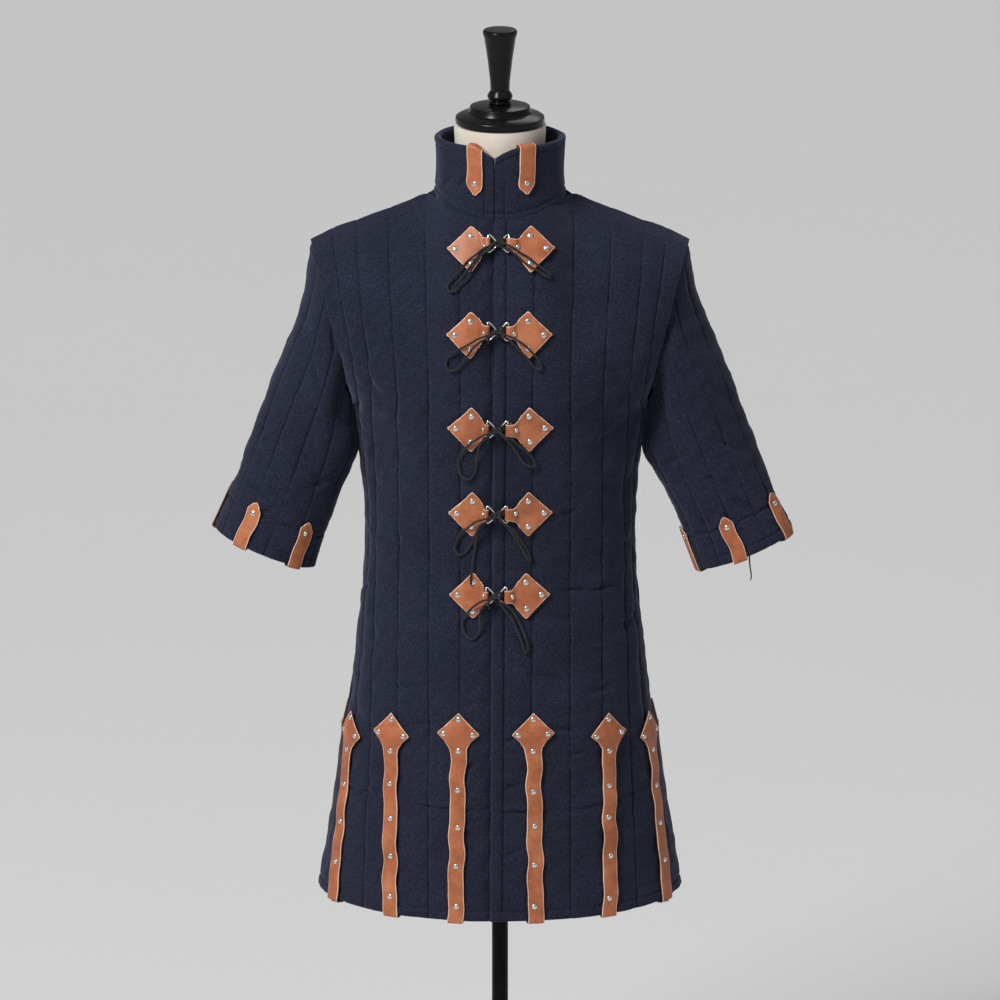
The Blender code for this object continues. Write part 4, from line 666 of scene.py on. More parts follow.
def column_of(table, field):
    return [getattr(row, field) for row in table]


def run_of(polyline):
    """Length from the first point to each point."""
    steps = np.linalg.norm(np.diff(polyline, axis=0), axis=-1)
    return np.concatenate([np.zeros((1, *steps.shape[1:])), np.cumsum(steps, axis=0)])


def along(polyline, distances):
    run = run_of(polyline)
    return np.stack([np.interp(distances, run, polyline[:, axis]) for axis in range(3)], axis=1)


def spread(points, step):
    """Points every step along a smooth curve through the given ones."""
    points = np.asarray(points, float)
    fine = []
    count = len(points)
    for index in range(count - 1):
        p0, p1 = points[max(index - 1, 0)], points[index]
        p2, p3 = points[index + 1], points[min(index + 2, count - 1)]
        for part in range(12):
            t = part / 12
            fine.append(0.5 * ((2 * p1) + (p2 - p0) * t + (2 * p0 - 5 * p1 + 4 * p2 - p3) * t * t
                               + (3 * p1 - p0 - 3 * p2 + p3) * t ** 3))
    fine.append(points[-1])
    fine = np.array(fine)
    total = run_of(fine)[-1]
    return along(fine, np.linspace(0.0, total, max(2, round(total / step)) + 1))


def quarter_ring(z, half_width, depth, power=ROUNDNESS, count=121):
    angle = np.linspace(0.0, math.pi / 2, count)
    x = half_width * np.sin(angle) ** (2 / power)
    y = -depth * np.cos(angle) ** (2 / power)
    return np.stack([x, y, np.full(count, z)], axis=1)


def arcs_at(length):
    fixed = np.arange(0, 2 * FIXED_CHANNELS + 1) * CHANNEL / 2
    rest = np.linspace(fixed[-1], length, HALF_COLUMNS - 2 * FIXED_CHANNELS + 1)[1:]
    return np.concatenate([fixed, rest])


def ring_curve(z, depth_field):
    heights = column_of(RINGS, "z")
    half_width = float(smooth(heights, column_of(RINGS, "half_width"), z))
    depth = float(smooth(heights, column_of(RINGS, depth_field), z))
    return quarter_ring(z, half_width, depth), half_width


def ring_row(z, depth_field):
    curve, half_width = ring_curve(z, depth_field)
    row = along(curve, arcs_at(run_of(curve)[-1]))
    lift = HEM_LIFT * max(0.0, 1 - (z - RINGS[0].z) / 0.12)
    row[:, 2] += lift * (row[:, 0] / half_width) ** 4
    return row


def shoulder_row(profile):
    neck_x = SHOULDER[0].x
    centre = profile[-1]
    tip = SHOULDER[-1].x
    fixed = arcs_at(1.0)[:2 * FIXED_CHANNELS]
    out = np.linspace(0.0, 1.0, 6)[1:] ** 0.9
    row = []
    for x in np.concatenate([fixed, fixed[-1] + (tip - fixed[-1]) * out]):
        if x < neck_x:
            share = x / neck_x
            y = -centre.depth * math.sqrt(1 - share ** 2.2)
            z = centre.z + (SHOULDER[0].z - centre.z) * share ** 2
        else:
            y = 0.0
            z = float(smooth(column_of(SHOULDER, "x"), column_of(SHOULDER, "z"), x))
        row.append((x, y, z))
    return np.array(row)


def armhole_edge(share):
    low = Vector((RINGS[-1].half_width, 0, RINGS[-1].z))
    high = Vector((SHOULDER[-1].x, 0, SHOULDER[-1].z))
    turn = math.pi * share
    point = low.lerp(high, (1 - math.cos(turn)) / 2)
    bulge = math.sin(turn)
    return (point.x - ARMHOLE_INSET * bulge, -ARMHOLE_DEPTH * bulge, point.z)


def upper_rows(lowest, profile):
    shares = np.linspace(0.0, 1.0, ROWS_ABOVE + 1)
    rises = profile[0].z + (profile[-1].z - profile[0].z) * shares
    depths = smooth(column_of(profile, "z"), column_of(profile, "depth"), rises)
    centre = np.stack([np.zeros_like(shares), -depths, rises], axis=1)
    armhole = np.array([armhole_edge(share) for share in shares])
    top = shoulder_row(profile)
    run = run_of(lowest)
    across = (run / run[-1])[:, None]
    rows = []
    for index, share in enumerate(shares[1:], start=1):
        lift = share ** 1.6
        edges = (1 - lift) * lowest + lift * top
        sides = (1 - across) * centre[index] + across * armhole[index]
        corners = ((1 - lift) * ((1 - across) * lowest[0] + across * lowest[-1])
                   + lift * ((1 - across) * top[0] + across * top[-1]))
        rows.append(edges + sides - corners)
    return rows


def half_grid(depth_field, profile):
    rows = [ring_row(z, depth_field) for z in np.linspace(RINGS[0].z, RINGS[-1].z, ROWS_BELOW)]
    rows += upper_rows(rows[-1], profile)
    return np.array(rows)


def moved_opening(grid):
    grid = grid.copy()
    low, high = grid[0, 0, 2], grid[-1, 0, 2]
    for row in grid:
        share = (row[0, 2] - low) / (high - low)
        opening = OPENING_X[0] + (OPENING_X[1] - OPENING_X[0]) * share
        reach = abs(row[4, 0])
        for column in range(4):
            row[column, 0] += opening * (1 - abs(row[column, 0]) / reach)
    return grid


def mirrored(grid, axis):
    grid = grid.copy()
    grid[:, :, axis] *= -1
    return grid


def body_grids():
    front = half_grid("front", CENTRE_FRONT)
    back = mirrored(half_grid("back", CENTRE_BACK), 1)
    left = moved_opening(front)
    right = moved_opening(mirrored(front, 0))
    whole_back = np.concatenate([back[:, ::-1], mirrored(back, 0)[:, 1:]], axis=1)
    return {"front_left": left, "front_right": right[:, ::-1], "back": whole_back}


def sleeve_grid(side):
    """Rows from the cuff up to the armhole, closed round, with the outside facing out."""
    table = SLEEVES[side]
    keys = np.linspace(0.0, 1.0, len(table))
    shares = np.linspace(0.0, 1.0, SLEEVE_ROWS)
    fields = {name: smooth(keys, column_of(table, name), shares) for name in SleeveRing._fields}
    rows = []
    for index in range(SLEEVE_ROWS):
        outer = Vector((fields["outer_x"][index], 0, fields["outer_z"][index]))
        inner = Vector((fields["inner_x"][index], 0, fields["inner_z"][index]))
        middle = (outer + inner) / 2
        reach = (outer - inner) / 2
        row = []
        for step in range(2 * SLEEVE_CHANNELS):
            turn = math.pi * step / SLEEVE_CHANNELS
            point = middle + reach * math.cos(turn)
            point.y -= fields["half_depth"][index] * math.sin(turn)
            point.x -= SLEEVE_INSET * abs(math.sin(turn)) * (1 - shares[index]) ** 6
            row.append((SLEEVE_SIGN[side] * point.x, point.y, point.z))
        rows.append(row)
    grid = np.array(rows)[::-1]
    if side == "left":
        grid = np.roll(grid[:, ::-1], 1, axis=1)
    return grid


def collar_base(angle):
    share = abs(math.sin(angle))
    middle = CENTRE_FRONT[-1].z if math.cos(angle) > 0 else CENTRE_BACK[-1].z
    return middle + (SHOULDER[0].z - middle) * share ** 2 + COLLAR_LIFT


def collar_grid():
    """Rows from the top edge down to the neck seam."""
    opening = OPENING_X[1]
    edge = math.asin(COLLAR_SPLIT / COLLAR[0].front)
    angles = np.linspace(edge, 2 * math.pi - edge, COLLAR_COLUMNS + 1)
    rows = []
    for rise in np.linspace(0.0, 1.0, COLLAR_ROWS):
        half_width, front, back = (float(smooth(column_of(COLLAR, "rise"), column_of(COLLAR, name),
                                                rise)) for name in ("half_width", "front", "back"))
        row = []
        for angle in angles:
            near = math.cos(angle) > 0
            x = half_width * math.sin(angle)
            y = -(front if near else back) * math.cos(angle)
            x += opening * max(0.0, 1 - abs(x) / 0.04) if near else 0.0
            low = collar_base(angle)
            notch = max(0.0, 1 - abs(x - opening) / NOTCH_REACH) if near else 0.0
            high = COLLAR_TOP - COLLAR_NOTCH * notch
            row.append((x, y, low + (high - low) * rise))
        rows.append(row)
    return np.array(rows)[::-1, ::-1]


# --- Smooth reading of a coarse grid ----------------------------------------------------------
Skin = namedtuple("Skin", "grid closed")


def curve_weights(t):
    """Weights of four neighbours for a smooth curve at this share between the middle two."""
    return (0.5 * (-t + 2 * t ** 2 - t ** 3), 0.5 * (2 - 5 * t ** 2 + 3 * t ** 3),
            0.5 * (t + 4 * t ** 2 - 3 * t ** 3), 0.5 * (-t ** 2 + t ** 3))


def point_on(skin, row, column):
    """Points of a skin at these fractional rows and columns."""
    grid = skin.grid
    tall = np.concatenate([2 * grid[:1] - grid[1:2], grid, 2 * grid[-1:] - grid[-2:-1]])
    if skin.closed:
        wide = np.concatenate([tall[:, -1:], tall, tall[:, :2]], axis=1)
    else:
        wide = np.concatenate([2 * tall[:, :1] - tall[:, 1:2], tall,
                               2 * tall[:, -1:] - tall[:, -2:-1]], axis=1)
    rows, columns = grid.shape[:2]
    row, column = np.broadcast_arrays(np.asarray(row, float), np.asarray(column, float))
    row = np.clip(row, 0.0, rows - 1 - 1e-9)
    column = np.mod(column, columns) if skin.closed else np.clip(column, 0.0, columns - 1 - 1e-9)
    r, c = np.floor(row).astype(int), np.floor(column).astype(int)
    row_weights = curve_weights(row - r)
    column_weights = curve_weights(column - c)
    total = 0.0
    for i, row_weight in enumerate(row_weights):
        for j, column_weight in enumerate(column_weights):
            total = total + (row_weight * column_weight)[..., None] * wide[r + i, c + j]
    return total


def normal_on(skin, row, column):
    """Outward unit normals of a skin."""
    step = 0.03
    rows, columns = skin.grid.shape[:2]
    row = np.clip(row, step, rows - 1 - step)
    if not skin.closed:
        column = np.clip(column, step, columns - 1 - step)
    across = point_on(skin, row, column + step) - point_on(skin, row, column - step)
    up = point_on(skin, row + step, column) - point_on(skin, row - step, column)
    face = np.cross(across, up)
    return face / np.linalg.norm(face, axis=-1, keepdims=True)


# --- Objects --------------------------------------------------------------------------------
def finished(piece, slot, *replaced):
    """Links a piece, lets it ride on the body and hides the imported parts it stands for."""
    if piece.name not in bpy.context.scene.collection.objects:
        bpy.context.scene.collection.objects.link(piece)
    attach(piece, BODY)
    if replaced:
        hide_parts(*replaced)
    return piece


def object_of(name, mesh, materials, angle=40.0):
    for material in materials:
        mesh.materials.append(material)
    mesh.shade_smooth()
    mesh.set_sharp_from_angle(angle=math.radians(angle))
    return bpy.data.objects.new(name, mesh)


def kept(count, step, closed=False):
    """Every step-th index of a side, with its last one."""
    ids = list(range(0, count, step))
    if closed:
        return ids + [count]
    return ids if ids[-1] == count - 1 else ids + [count - 1]


def slab_mesh(name, outer, inner, closed=False, border=None, row_step=1, column_step=1):
    """A closed wall between two grids, whose rim faces take the last material.

    The outer faces marked in border take the second one. The inner side keeps only every
    row_step-th row and column_step-th column.
    """
    rows, columns = outer.shape[:2]
    row_ids, column_ids = kept(rows, row_step), kept(columns, column_step, closed)
    index = np.arange(rows * columns).reshape(rows, columns)
    chosen = column_ids[:-1] if closed else column_ids
    coarse = inner[np.ix_(row_ids, chosen)]
    under = rows * columns + np.arange(coarse.shape[0] * coarse.shape[1]).reshape(coarse.shape[:2])
    if closed:
        index = np.concatenate([index, index[:, :1]], axis=1)
        under = np.concatenate([under, under[:, :1]], axis=1)

    def cells(grid):
        corners = (grid[:-1, :-1], grid[:-1, 1:], grid[1:, 1:], grid[1:, :-1])
        return np.stack(corners, axis=-1).reshape(-1, 4)

    top = cells(index)
    rims = []
    for k, (first, last) in enumerate(zip(column_ids, column_ids[1:])):
        rims.append([*index[0, first:last + 1][::-1], under[0, k], under[0, k + 1]])
        rims.append([*index[-1, first:last + 1], under[-1, k + 1], under[-1, k]])
    if not closed:
        for k, (first, last) in enumerate(zip(row_ids, row_ids[1:])):
            rims.append([*index[first:last + 1, 0], under[k + 1, 0], under[k, 0]])
            rims.append([*index[first:last + 1, -1][::-1], under[k, -1], under[k + 1, -1]])
    faces = top.tolist() + cells(under)[:, ::-1].tolist() + [[int(i) for i in rim] for rim in rims]
    which = np.zeros(len(faces), dtype=np.int32)
    which[len(faces) - len(rims):] = 0 if border is None else 2
    if border is not None:
        which[:len(top)] = border.reshape(-1)
    mesh = bpy.data.meshes.new(name)
    points = np.concatenate([outer.reshape(-1, 3), coarse.reshape(-1, 3)])
    mesh.from_pydata(points.tolist(), [], faces)
    mesh.polygons.foreach_set("material_index", which)
    return mesh


def tube(name, points, radius, material, cyclic=False, sides=3, radii=None):
    curve = bpy.data.curves.new(name, "CURVE")
    curve.dimensions = "3D"
    curve.bevel_depth = radius
    curve.bevel_resolution = sides
    curve.use_fill_caps = not cyclic
    spline = curve.splines.new("POLY")
    spline.points.add(len(points) - 1)
    for index, (point, position) in enumerate(zip(spline.points, points)):
        point.co = (*position, 1.0)
        point.radius = 1.0 if radii is None else radii[index]
    spline.use_cyclic_u = cyclic
    curve.materials.append(material)
    return bpy.data.objects.new(name, curve)


# --- Relief of the cloth ----------------------------------------------------------------------
Cloth = namedtuple("Cloth", "name skin points normals arc rise seams outer")


def channel_columns(first, last):
    """Column positions from first to last, close together beside each even one, a seam."""
    positions = [last]
    for start in range(first, last):
        if start % 2 == 0:
            positions += [start + step for step in CHANNEL_STEPS]
        else:
            positions += [start] + [start + 1 - step for step in CHANNEL_STEPS]
    return np.unique(np.round(np.array(positions, float), 6))


def even_rows(last, per_row):
    """Row positions, close together beside the free edge."""
    return np.concatenate([EDGE_STEPS, np.arange(per_row, per_row * last + 1) / per_row])


def ripple(distance, seeds, lengths=(0.0105, 0.0165, 0.0270)):
    """Irregular ripples along a seam, from -1 to 1."""
    total = 0.0
    for length in lengths:
        total = total + np.sin(distance / length * 2 * math.pi + seeds.uniform(0, 6.28)
                               + 1.7 * np.sin(distance / (length * 3.7) + seeds.uniform(0, 6.28)))
    return total / len(lengths)


def slow_waves(points, seeds, length):
    """A smooth field over space, from about -1 to 1."""
    total = 0.0
    for _ in range(7):
        direction = np.array([seeds.gauss(0, 1), seeds.gauss(0, 1), seeds.gauss(0, 1)])
        direction /= np.linalg.norm(direction) * length * seeds.uniform(0.7, 1.5)
        total = total + np.sin(points @ direction * 2 * math.pi + seeds.uniform(0, 6.28))
    return total / 2.6


def groove(distance, width):
    return np.exp(-(distance / width) ** 2)


def sunk(distance, line):
    """Depth of a pressed or stitched line at a distance from it."""
    return line.depth * groove(distance, line.width)


def soften(rows):
    """Draws each row but the end ones towards its neighbours, in place."""
    rows[1:-1] = 0.25 * rows[:-2] + 0.5 * rows[1:-1] + 0.25 * rows[2:]


def quilted(cloth, seeds, fade=1.0):
    """Height of the cloth between and along its quilting seams."""
    relief = np.zeros_like(cloth.arc)
    nearest = np.full_like(cloth.arc, 1.0)
    for index in cloth.seams:
        distance = np.abs(cloth.arc - cloth.arc[:, index:index + 1])
        if cloth.skin.closed:
            total = cloth.arc[:, -1:] + np.linalg.norm(cloth.points[:, -1] - cloth.points[:, 0],
                                                       axis=-1)[:, None]
            distance = np.minimum(distance, total - distance)
        wander = 0.85 + 0.25 * ripple(cloth.rise, seeds, (0.07, 0.13, 0.21))
        strength = wander * fade
        relief -= CREASE * strength * groove(distance, CREASE_WIDTH)
        relief += (PUCKER * ripple(cloth.rise, seeds) * np.exp(-distance / PUCKER_REACH)
                   * np.clip(distance / PUCKER_FROM, 0, 1)
                   * (0.55 + 0.45 * ripple(cloth.rise, seeds, (0.09, 0.16))))
        nearest = np.minimum(nearest, distance + (1 - np.clip(strength, 0, 1)) * 0.02)
    share = np.clip(nearest / (CHANNEL / 2), 0, 1)
    relief -= HOLLOW * (1 - share) ** 2.6
    relief += UNEVEN * slow_waves(cloth.points, seeds, 0.06)
    relief += UNEVEN * 0.65 * slow_waves(cloth.points, seeds, 0.024)
    return relief


def folded(cloth, arc):
    """Height given by the panel's table of folds."""
    relief = np.zeros_like(cloth.arc)
    height = cloth.points[:, :, 2]
    for fold in FOLDS[cloth.name]:
        lean = math.radians(fold.lean)
        dx, dz = arc - fold.arc, height - fold.height
        run = dx * math.cos(lean) + dz * math.sin(lean)
        off = -dx * math.sin(lean) + dz * math.cos(lean)
        off = off - run ** 2 * FOLD_BEND * math.sin(fold.arc * 90 + fold.height * 40)
        window = np.clip(1 - (run / (fold.length / 2)) ** 2, 0, 1) ** 1.5
        relief -= FOLD_DEPTH * fold.depth * MM * groove(off, fold.width * MM) * window
    return relief


def rim_drop(distance, radius):
    """How far an edge of this radius has turned away at a distance from it."""
    share = np.clip(1 - distance / radius, 0, 1)
    return radius * (1 - np.sqrt(np.clip(1 - share ** 2, 0, 1)))


def softened_across(field, columns):
    """Softens an evenly read field from column to column, then reads it at these columns."""
    for _ in range(SMOOTHING_ACROSS):
        soften(np.swapaxes(field, 0, 1))
    at = np.clip(columns * PER_COLUMN, 0, field.shape[1] - 1 - 1e-9)
    low = np.floor(at).astype(int)
    share = (at - low)[None, :, None]
    return (1 - share) * field[:, low] + share * field[:, low + 1]


def prepared(name, skin, rows, columns, seam_columns):
    points = point_on(skin, rows[:, None], columns[None, :])
    normals = normal_on(skin, rows[:, None], columns[None, :])
    if not skin.closed:
        even = np.arange(0.0, skin.grid.shape[1] - 1 + 1e-6, 1 / PER_COLUMN)
        share = np.clip((rows[-1] - rows) / TOP_ROWS, 0, 1)[:, None, None]
        soft_points = softened_across(point_on(skin, rows[:, None], even[None, :]), columns)
        soft_normals = softened_across(normal_on(skin, rows[:, None], even[None, :]), columns)
        points = points + share * (soft_points - points)
        normals = normals + share * (soft_normals - normals)
    for _ in range(SMOOTHING):
        soften(points)
        soften(normals)
    normals /= np.linalg.norm(normals, axis=-1, keepdims=True)
    arc = run_of(np.swapaxes(points, 0, 1)).T
    rise = run_of(points)
    seams = [int(np.argmin(np.abs(columns - seam))) for seam in seam_columns]
    return Cloth(name, skin, points, normals, arc, rise, seams, None)


def tucked(outer, inner, steps, down):
    """Adds rows past the last one, that run on under the neighbouring piece."""
    way = outer[-1] - outer[-4]
    way /= np.linalg.norm(way, axis=-1, keepdims=True)
    sink = inner[-1] - outer[-1]
    sink /= np.linalg.norm(sink, axis=-1, keepdims=True)
    for grid in (outer, inner):
        last = grid[-1]
        yield np.concatenate([grid, *(
            (last + way * step + sink * down * (step / steps[-1]))[None] for step in steps)])


def finished_cloth(cloth, relief, materials, rims, tuck=None):
    """Makes the wall of a cloth piece; rims gives the radius of each of its edges."""
    ends = {
        "low": cloth.rise, "high": cloth.rise[-1:] - cloth.rise,
        "first": cloth.arc, "last": cloth.arc[:, -1:] - cloth.arc,
    }
    drop = np.zeros_like(cloth.arc)
    for edge, radius in rims.items():
        drop = np.maximum(drop, rim_drop(ends[edge], radius))
    outer = cloth.points + cloth.normals * (relief - drop)[..., None]
    inner = cloth.points - cloth.normals * (CLOTH - drop + 0.3 * relief.clip(-0.002, 0.0))[..., None]
    wall = tuple(tucked(outer, inner, *tuck)) if tuck else (outer, inner)
    mesh = slab_mesh(cloth.name + "_cloth", *wall, cloth.skin.closed, None, 4, 4)
    piece = object_of(cloth.name + "_cloth", mesh, (materials["wool"],), 60.0)
    finished(piece, "padded_wool", cloth.name)
    spans = np.linalg.norm(np.diff(cloth.points, axis=1), axis=-1)
    width = float(cloth.arc[:, -1].max())
    if cloth.skin.closed:
        width += float(spans.mean())
    area = wall_area(cloth)
    return cloth._replace(outer=outer)


def wall_area(cloth):
    points = cloth.points
    if cloth.skin.closed:
        points = np.concatenate([points, points[:, :1]], axis=1)
    across = points[1:, 1:] - points[:-1, :-1]
    down = points[1:, :-1] - points[:-1, 1:]
    return float(np.linalg.norm(np.cross(across, down), axis=-1).sum() / 2)


def body_columns(name):
    """Column positions of a panel, its seams and the place of its centre line."""
    half_seams = (2, 4, 6, 8, 10)
    middle = HALF_COLUMNS
    if name == "back":
        columns = channel_columns(0, 2 * middle)
        seams = [middle - c for c in half_seams] + [middle] + [middle + c for c in half_seams]
        return columns, seams, int(np.argmin(np.abs(columns - middle)))
    columns = channel_columns(0, middle)
    if name == "front_left":
        return np.unique(np.concatenate([columns, BAND_COLUMNS])), half_seams, 0
    return columns, [middle - c for c in half_seams], len(columns) - 1


def cap_relief(cloth, from_middle):
    """The edge of the armhole, that stands off the sleeve from the chest upwards."""
    armhole = np.clip((cloth.points[:, :, 2] - CAP_FROM) / CAP_EASE, 0, 1)
    inset = from_middle.max(axis=1, keepdims=True) - from_middle
    return CAP_RISE * armhole * np.clip(1 - inset / CAP_REACH, 0, 1) ** 1.5


def make_body(materials):
    """Fronts and back."""
    clothes = {}
    for name, grid in body_grids().items():
        seeds = random.Random(len(name) * 7 + ord(name[-1]))
        rows = even_rows(ROWS_BELOW + ROWS_ABOVE - 1, BACK_ROWS if name == "back" else FRONT_ROWS)
        columns, seams, centre = body_columns(name)
        cloth = prepared(name, Skin(grid, False), rows, columns, seams)
        signed = cloth.arc - cloth.arc[:, centre:centre + 1]
        beside = np.abs(signed)
        top = cloth.rise[-1:] - cloth.rise
        relief = quilted(cloth, seeds) * np.clip(top / SHOULDER_FADE, SHOULDER_LEFT, 1.0)
        relief += folded(cloth, signed if name == "back" else beside)
        relief -= sunk(cloth.rise - HEM_BAND, HEM_LINE)
        relief += BAND_RISE * (cloth.rise < HEM_BAND)
        edge_rise = 0.0
        if name == "front_left":
            relief -= sunk(beside - BAND, BAND_LINE) * (cloth.rise > HEM_BAND)
            edge_rise = EDGE_RISE * np.clip((BAND - beside) / EDGE_EASE, 0, 1)
        if name == "front_right":
            relief -= EDGE_RECESS * np.clip(1 - beside / RECESS_REACH, 0, 1) ** 1.3
        relief = np.minimum(relief, BODY_LIMIT) + edge_rise + cap_relief(cloth, beside)
        rims = {"low": RIM, "high": TOP_RIM,
                "first": RIM if name == "front_left" else SEWN_RIM,
                "last": RIM if name == "front_right" else SEWN_RIM}
        clothes[name] = finished_cloth(cloth, relief, materials, rims)
    return clothes


def swelling(cloth, beside, bulge):
    """A rounded rise, columns beside its middle and at its height."""
    level = groove(cloth.points[:, :, 2] - bulge.height, bulge.reach)
    return bulge.rise * groove(beside, bulge.columns)[None, :] * level


def make_sleeves(materials):
    clothes = {}
    for side in ("right", "left"):
        name = "sleeve_" + side
        seeds = random.Random(11 + len(side))
        skin = Skin(sleeve_grid(side), True)
        columns = channel_columns(0, 2 * SLEEVE_CHANNELS)[:-1]
        rows = even_rows(SLEEVE_ROWS - 1, SLEEVE_FINE_ROWS)
        cloth = prepared(name, skin, rows, columns, range(0, 2 * SLEEVE_CHANNELS, 2))
        fade = np.clip(0.75 + 0.45 * ripple(cloth.rise, seeds, (0.16, 0.29)), 0.35, 1.1)
        relief = quilted(cloth, seeds, fade)
        front = cloth.arc if side == "right" else cloth.arc[:, -1:] - cloth.arc
        relief += folded(cloth, front)
        dip = np.abs(np.sin(math.pi * columns / 2))[None, :]
        seam = CUFF_SEAM + 0.0035 * dip + 0.0015 * ripple(cloth.arc, seeds, (0.06, 0.10))
        relief -= sunk(cloth.rise - seam, CUFF_LINE)
        relief -= sunk(cloth.rise - HEM_BAND, CUFF_EDGE_LINE)
        relief += BAND_RISE * (cloth.rise < HEM_BAND)
        relief = np.minimum(relief, SLEEVE_LIMIT)
        inner = SLEEVE_CHANNELS
        valley = inner + (-1 if side == "right" else 1) * VALLEY.column
        relief = relief - swelling(cloth, columns - valley, VALLEY)
        relief = relief + swelling(cloth, columns - inner, UNDERARM)
        clothes[name] = finished_cloth(cloth, relief, materials, {"low": RIM}, SLEEVE_TUCK)
    return clothes


def make_collar(materials):
    seeds = random.Random(5)
    skin = Skin(collar_grid(), False)
    rows = np.unique(np.concatenate([np.arange(0, 4.01, 1 / 16), [0.03, 0.09, 3.95, 3.98]]))
    columns = np.unique(np.concatenate([np.arange(0, COLLAR_COLUMNS + 0.01, 1 / 9),
                                        [0.05, 0.1, 31.9, 31.95]]))
    cloth = prepared("collar", skin, rows, columns, ())
    relief = UNEVEN * slow_waves(cloth.points, seeds, 0.05)
    relief += folded(cloth, cloth.arc)
    relief -= sunk(cloth.rise - COLLAR_BAND, COLLAR_LINE)
    relief += BAND_RISE * (cloth.rise < COLLAR_BAND)
    low = cloth.rise[-1:] - cloth.rise
    relief -= sunk(low - COLLAR_FOOT, COLLAR_FOOT_LINE)
    for edge in (cloth.arc, cloth.arc[:, -1:] - cloth.arc):
        relief -= sunk(edge - COLLAR_END, COLLAR_END_LINE)
    relief = np.minimum(relief, SLEEVE_LIMIT)
    rims = {"low": RIM, "first": SEWN_RIM, "last": SEWN_RIM}
    return finished_cloth(cloth, relief, materials, rims, COLLAR_TUCK)


# --- Stitches ---------------------------------------------------------------------------------

def stitch_rows(lines):
    """Short threads along lines of (points, normals); each is an eight-faced sliver."""
    vertices, faces = [], []
    for points, normals in lines:
        run = run_of(points)
        starts = np.arange(STITCH_PITCH, run[-1] - STITCH_PITCH, STITCH_PITCH)
        tips = along(points, starts)
        tails = along(points, starts + STITCH)
        outs = along(normals, np.interp(starts + STITCH / 2, run, run_of(normals)))
        for tip, tail, out in zip(tips, tails, outs):
            out = out / np.linalg.norm(out)
            middle = (tip + tail) / 2 + out * THREAD * 0.6
            side = np.cross(out, tail - tip)
            side = side / np.linalg.norm(side) * THREAD
            base = len(vertices)
            ring = (middle + out * THREAD, middle + side, middle - out * THREAD, middle - side)
            vertices += [tip, *ring, tail]
            for k in range(4):
                faces.append((base, base + 1 + (k + 1) % 4, base + 1 + k))
                faces.append((base + 5, base + 1 + k, base + 1 + (k + 1) % 4))
    return vertices, faces


def column_line(cloth, index, low=0.004, high=0.004):
    keep = (cloth.rise[:, index] > low) & (cloth.rise[-1, index] - cloth.rise[:, index] > high)
    return cloth.outer[keep, index], cloth.normals[keep, index]


def level_line(cloth, rise):
    """A line across a piece at a given distance from its free edge."""
    points, normals = [], []
    for index in range(cloth.outer.shape[1]):
        at = np.broadcast_to(rise, cloth.arc.shape)[0, index]
        run = cloth.rise[:, index]
        points.append([np.interp(at, run, cloth.outer[:, index, axis]) for axis in range(3)])
        normals.append([np.interp(at, run, cloth.normals[:, index, axis]) for axis in range(3)])
    return np.array(points), np.array(normals)


def edge_line(cloth, inset, from_last=False):
    """A line up a piece at a given distance from its first or last column."""
    points, normals = [], []
    for index in range(cloth.outer.shape[0]):
        run = cloth.arc[index]
        at = run[-1] - inset if from_last else inset
        if cloth.rise[index, 0] < HEM_BAND:
            continue
        points.append([np.interp(at, run, cloth.outer[index, :, axis]) for axis in range(3)])
        normals.append([np.interp(at, run, cloth.normals[index, :, axis]) for axis in range(3)])
    return np.array(points), np.array(normals)


def make_stitches(clothes, materials):
    """The quilting seams and edge rows of every cloth piece, as one joined mesh each."""
    for name, cloth in clothes.items():
        lines = [column_line(cloth, index) for index in cloth.seams]
        if name == "collar":
            lines += [level_line(cloth, COLLAR_BAND), edge_line(cloth, COLLAR_END),
                      edge_line(cloth, COLLAR_END, True)]
        else:
            lines.append(level_line(cloth, HEM_BAND))
        if name.startswith("sleeve"):
            lines.append(level_line(cloth, CUFF_SEAM + 0.0018))
        if name == "front_left":
            lines.append(edge_line(cloth, BAND))
        vertices, faces = stitch_rows(lines)
        mesh = bpy.data.meshes.new("stitches_" + name)
        mesh.from_pydata([tuple(v) for v in vertices], [], faces)
        finished(object_of("stitches_" + name, mesh, (materials["thread"],)), "padded_wool")


# --- Leather ----------------------------------------------------------------------------------
Station = namedtuple("Station", "along height half_width")


def row_at(skin, distance, column):
    """Fractional row reached after walking this far from the free edge up a column."""
    rows = np.linspace(0, skin.grid.shape[0] - 1, 160)
    track = point_on(skin, rows, np.full_like(rows, column))
    return np.interp(distance, run_of(track), rows)


def cloth_place(skin, column_for, turn=1):
    """Placing on a skin by distance from the free edge, distance across, and height."""
    def place(along_edge, across, height):
        along_edge, across, height = np.broadcast_arrays(along_edge, across, height)
        middle = column_for(np.maximum(along_edge, 0.0))
        row = row_at(skin, np.maximum(along_edge, 0.0), float(np.mean(middle)))
        left, right = point_on(skin, row, middle - 0.5), point_on(skin, row, middle + 0.5)
        per_metre = 1 / np.linalg.norm(right - left, axis=-1)
        column = middle + across * turn * per_metre
        point = point_on(skin, row, column)
        normal = normal_on(skin, row, column)
        out = point_on(skin, np.zeros_like(row), column) - point_on(skin, np.full_like(row, 0.3), column)
        out = out / np.linalg.norm(out, axis=-1, keepdims=True)
        beyond = np.minimum(along_edge, 0.0)
        return point - out * beyond[..., None] + normal * height[..., None]
    return place


def offset_line(line, distance):
    """A 2D polyline moved to its left."""
    step = np.gradient(line, axis=0)
    step /= np.linalg.norm(step, axis=1, keepdims=True)
    return line + distance * np.stack([-step[:, 1], step[:, 0]], axis=1)


Stud = namedtuple("Stud", "point normal radius")


